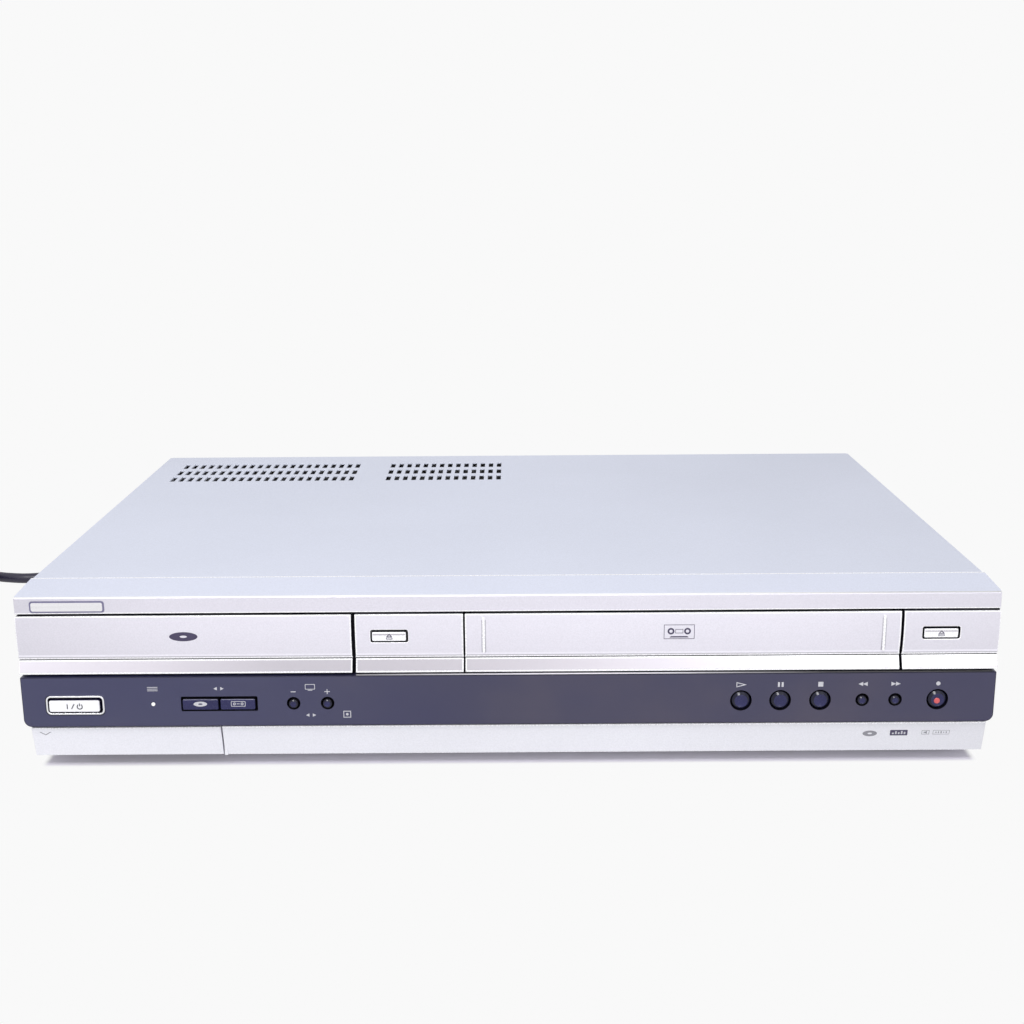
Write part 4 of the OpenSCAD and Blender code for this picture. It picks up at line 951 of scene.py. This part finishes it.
# ---------------------------------------------------------------- marks on the silver parts
for node in ("disc_eject_button", "tape_eject_button"):
    x, _, z = spot(node)
    roof = [(x - 1.45, z - 0.35), (x + 1.45, z - 0.35), (x, z + 1.2)]
    roof_hole = [(x - 0.62, z - 0.02), (x + 0.62, z - 0.02), (x, z + 0.65)]
    marks(node.replace("button", "mark"), node, "print_dark", flat(node),
          [(roof, roof_hole), outlined(x, z - 1.0, 2.7, 0.85, 0.5)], thick=0.03)
disc_x, disc_z = -141.7, 63
marks("disc_mark", "tray_front", "print_dark", door_face, [
    (circle(disc_x, disc_z, 6.2, 2.1, n=48), circle(disc_x, disc_z, 1.6, 0.55, n=48)),
])
tape_x, tape_z = 75.0, 63.8
marks("cassette_mark", "tape_flap", "print_dark", door_face, [
    outlined(tape_x, tape_z, 13.4, 6.6, 0.45),
    *[(circle(tape_x + dx, tape_z + 0.3, 1.5), circle(tape_x + dx, tape_z + 0.3, 0.75))
      for dx in (-3.6, 3.6)],
    outlined(tape_x, tape_z + 0.3, 3.4, 1.9, 0.4),
    solid([(tape_x - 4.2, tape_z - 2.6), (tape_x + 4.2, tape_z - 2.6), (tape_x + 3.6, tape_z - 2.0),
           (tape_x - 3.6, tape_z - 2.0)]),
], curved=True)
strip_z = 14.6
boxes_z = strip_z + 0.4
marks("strip_marks_grey", "front_bezel", "print_grey", strip_face, [
    (circle(161.4, strip_z, 3.2, 1.5, n=36), circle(161.4, strip_z, 1.0, 0.45, n=36)),
    outlined(186.2, boxes_z, 3.4, 2.2, 0.4),
    outlined(193.2, boxes_z, 7.4, 2.2, 0.35),
    *[solid(box(190.9 + 1.15 * i, boxes_z, 0.5, 0.5 + 0.3 * (i % 3))) for i in range(5)],
    solid([(185.4, strip_z + 0.1), (186.0, strip_z + 0.1), (186.8, strip_z - 0.4), (186.8, strip_z + 1.2),
           (186.0, strip_z + 0.7), (185.4, strip_z + 0.7)]),
])
marks("strip_mark_dark", "front_bezel", "print_dark", strip_face,
      [solid(box(174.3, strip_z + 0.3, 7.8, 2.9, 0.3))])
BAR_HEIGHTS = (0.8, 1.5, 1.0, 1.7, 1.2)
marks("strip_mark_bars", "front_bezel", "print_white", strip_face,
      [solid(box(171.7 + 1.3 * i, strip_z - 0.45 + 0.5 * h, 0.75, h)) for i, h in enumerate(BAR_HEIGHTS)],
      thick=0.09)
marks("pull_mark", "input_door", "print_grey", strip_face, [
    solid([(-209.2, 18.1), (-208.6, 18.1), (-206.5, 16.8), (-204.4, 18.1), (-203.8, 18.1), (-206.5, 16.4)]),
])
badge_x, badge_z = -191.9, 76.7
marks("badge_field", "front_bezel", "badge_violet", cap_face,
      [solid(box(badge_x, badge_z, 32.6, 5.2, 1.2))], thick=0.25)
marks("badge_plate", "front_bezel", "badge_silver", cap_face,
      [solid(box(badge_x, badge_z, 31.2, 3.9, 0.8))], thick=0.42)
dish_y = spot("record_button")[1] + 0.32
pad("record_dot", "record_button", "record_red", record_x - 0.2, row_z - 0.6, dish_y,
    1.3, 0.2)

# ---------------------------------------------------------------- mains lead
CORD_D = 6.4
CORD_ROUTE = [
    (-185, 166, 30), (-185, 178, 30), (-185, 191, 27), (-187, 203, 21), (-191, 213, 14), (-198, 221, 8),
    (-208, 226, 4.5), (-222, 228, 3.3), (-238, 225, 3.3), (-252, 216, 3.3), (-263, 203, 3.3),
    (-271, 188, 3.3), (-278, 173, 3.3), (-286.5, 158.5, 3.3), (-297.5, 147.8, 3.3), (-310.5, 143, 3.3),
    (-324.5, 144.2, 3.3), (-338, 149, 3.3), (-350.5, 155.3, 3.3),
]
TAIL_ROUTE = [(-412, 94, 8.4), (-409, 84, 7.4), (-406, 74, 6.9)]
COIL = (-376, 121)              # middle of the coil
COIL_START, COIL_STOP, COIL_STEP = 69, 203 + 5 * 360, 15    # degrees round it
OUTER_RING, INNER_RING = 41.8, 29.0     # radii
LOWER_LAYER, UPPER_LAYER = 3.3, 9.7     # heights
CHANGE = 170                    # degrees that the cord takes from one ring to the next


def coil_points():
    """Three rings inward on the floor, then three outward on top of them."""
    points = []
    for angle in range(COIL_START, COIL_STOP + 1, COIL_STEP):
        ring, rest = divmod(angle - COIL_START, 360)
        k = max(0.0, (rest - (360 - CHANGE)) / CHANGE)
        ease = k * k * (3 - 2 * k)
        hump = math.sin(math.pi * ease)
        if ring < 2:
            r, z = OUTER_RING - CORD_D * (ring + ease), LOWER_LAYER
        elif ring == 2:
            r, z = INNER_RING - 2.0 * hump, LOWER_LAYER + CORD_D * ease
        else:
            r, z = INNER_RING + CORD_D * (ring - 3 + ease), UPPER_LAYER + (hump if ring == 3 else 0.0)
        a = math.radians(angle)
        points.append((COIL[0] + r * math.cos(a), COIL[1] + r * math.sin(a), z))
    return points


cord_curve = bpy.data.curves.new("mains_lead", "CURVE")
cord_curve.dimensions = "3D"
cord_curve.bevel_depth = CORD_D / 2 * MM
cord_curve.bevel_resolution = 6
cord_curve.use_fill_caps = True
cord_curve.resolution_u = 5
spline = cord_curve.splines.new("BEZIER")
cord_points = CORD_ROUTE + coil_points() + TAIL_ROUTE
spline.bezier_points.add(len(cord_points) - 1)
for point, at in zip(spline.bezier_points, cord_points):
    point.co = Vector(at) * MM
    point.handle_left_type = point.handle_right_type = "AUTO"
cord = bpy.data.objects.new("mains_lead", cord_curve)
bpy.context.scene.collection.objects.link(cord)
cord_curve.materials.append(MAT["cord_black"])
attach(cord, "case")
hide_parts("mains_cord", "mains_coil")

# ---------------------------------------------------------------- stage
bpy.context.scene.view_settings.view_transform = "Standard"
WHITE = (0.947, 0.947, 0.947, 1)
AMBIENT = 0.5                           # strength of the world on the object
FLOOR_COLOUR = (0.93, 0.93, 0.94)
SHADE_COLOUR = (0.72, 0.69, 0.78)       # of the floor under the player
FOOTPRINT = (0.208, 0.1395, 1.0)        # half size of the area shaded under the player
FADE_WIDTH, FADE_LOW = 0.004, 0.10      # the floor's glow fades over this width to this share, which stays in the shadow under the player and lightens it


def calculate(nodes, links, operation, first, second):
    """A maths node, whose second value may be a number."""
    node = nodes.new("ShaderNodeMath")
    node.operation = operation
    links.new(first, node.inputs[0])
    if isinstance(second, float):
        node.inputs[1].default_value = second
    else:
        links.new(second, node.inputs[1])
    return node.outputs["Value"]


def camera_white(nodes, links, strength):
    """A strength for what the camera, glossy and transmission rays see, and 0 for other rays."""
    rays = nodes.new("ShaderNodeLightPath").outputs
    seen = calculate(nodes, links, "MAXIMUM", rays["Is Camera Ray"], rays["Is Glossy Ray"])
    seen = calculate(nodes, links, "MAXIMUM", seen, rays["Is Transmission Ray"])
    return calculate(nodes, links, "MULTIPLY", seen, strength)


def vector_math(nodes, links, operation, first, second=None):
    node = nodes.new("ShaderNodeVectorMath")
    node.operation = operation
    links.new(first, node.inputs[0])
    if second is not None:
        node.inputs[1].default_value = second
    return node.outputs["Value" if operation == "LENGTH" else "Vector"]


floor_mesh = bpy.data.meshes.new("floor")
floor_mesh.from_pydata([(-20, -20, 0), (20, -20, 0), (20, 20, 0), (-20, 20, 0)], [], [(0, 1, 2, 3)])
floor = bpy.data.objects.new("floor", floor_mesh)
bpy.context.scene.collection.objects.link(floor)
nodes, links, bsdf = tree_of("floor_white")
bsdf.inputs["Roughness"].default_value = 0.9
glow = nodes.new("ShaderNodeEmission")
glow.inputs["Color"].default_value = WHITE
side = vector_math(nodes, links, "ABSOLUTE", coords(nodes, links))
outside = vector_math(nodes, links, "SUBTRACT", side, FOOTPRINT)
outside = vector_math(nodes, links, "MAXIMUM", outside, (0, 0, 0))
fade = nodes.new("ShaderNodeMapRange")
fade.interpolation_type = "SMOOTHSTEP"
fade.inputs["From Min"].default_value = 0.0
fade.inputs["From Max"].default_value = FADE_WIDTH
fade.inputs["To Min"].default_value = FADE_LOW
fade.inputs["To Max"].default_value = 1.0
links.new(vector_math(nodes, links, "LENGTH", outside), fade.inputs["Value"])
links.new(ramp(nodes, links, fade.outputs["Result"], [(FADE_LOW, SHADE_COLOUR), (1.0, FLOOR_COLOUR)]),
          bsdf.inputs["Base Color"])
share = calculate(nodes, links, "MULTIPLY", fade.outputs["Result"], camera_white(nodes, links, 1.0))
both = nodes.new("ShaderNodeMixShader")
links.new(share, both.inputs["Fac"])
links.new(bsdf.outputs["BSDF"], both.inputs[1])
links.new(glow.outputs["Emission"], both.inputs[2])
links.new(both.outputs["Shader"], nodes["Material Output"].inputs["Surface"])
floor_mesh.materials.append(MAT["floor_white"])

world = bpy.data.worlds.new("studio")
bpy.context.scene.world = world
world.use_nodes = True
nodes, links = world.node_tree.nodes, world.node_tree.links
background = nodes["Background"]
background.inputs["Color"].default_value = WHITE
extra = camera_white(nodes, links, 1.0 - AMBIENT)
links.new(calculate(nodes, links, "ADD", extra, AMBIENT), background.inputs["Strength"])


def lamp(name, at, aim, width, height, power):
    """A soft rectangular lamp."""
    data = bpy.data.lights.new(name, "AREA")
    data.shape = "RECTANGLE"
    data.size, data.size_y = width, height
    data.energy = power
    obj = bpy.data.objects.new(name, data)
    obj.location = at
    obj.rotation_mode = "QUATERNION"
    obj.rotation_quaternion = (Vector(aim) - Vector(at)).to_track_quat("-Z", "Y")
    bpy.context.scene.collection.objects.link(obj)


lamp("key", (-0.5, -1.5, 1.9), (0, 0, 0.05), 0.7, 0.7, 26)
lamp("card_right", (0.68, -2.07, 0.95), (0.09, -0.147, 0.05), 0.86, 0.78, 9)
lamp("card_left", (-1.11, -1.94, 0.95), (-0.2, -0.147, 0.05), 0.4, 0.6, 2)
lamp("fill", (1.0, -1.4, 1.4), (0, 0, 0.05), 1.4, 1.4, 4)
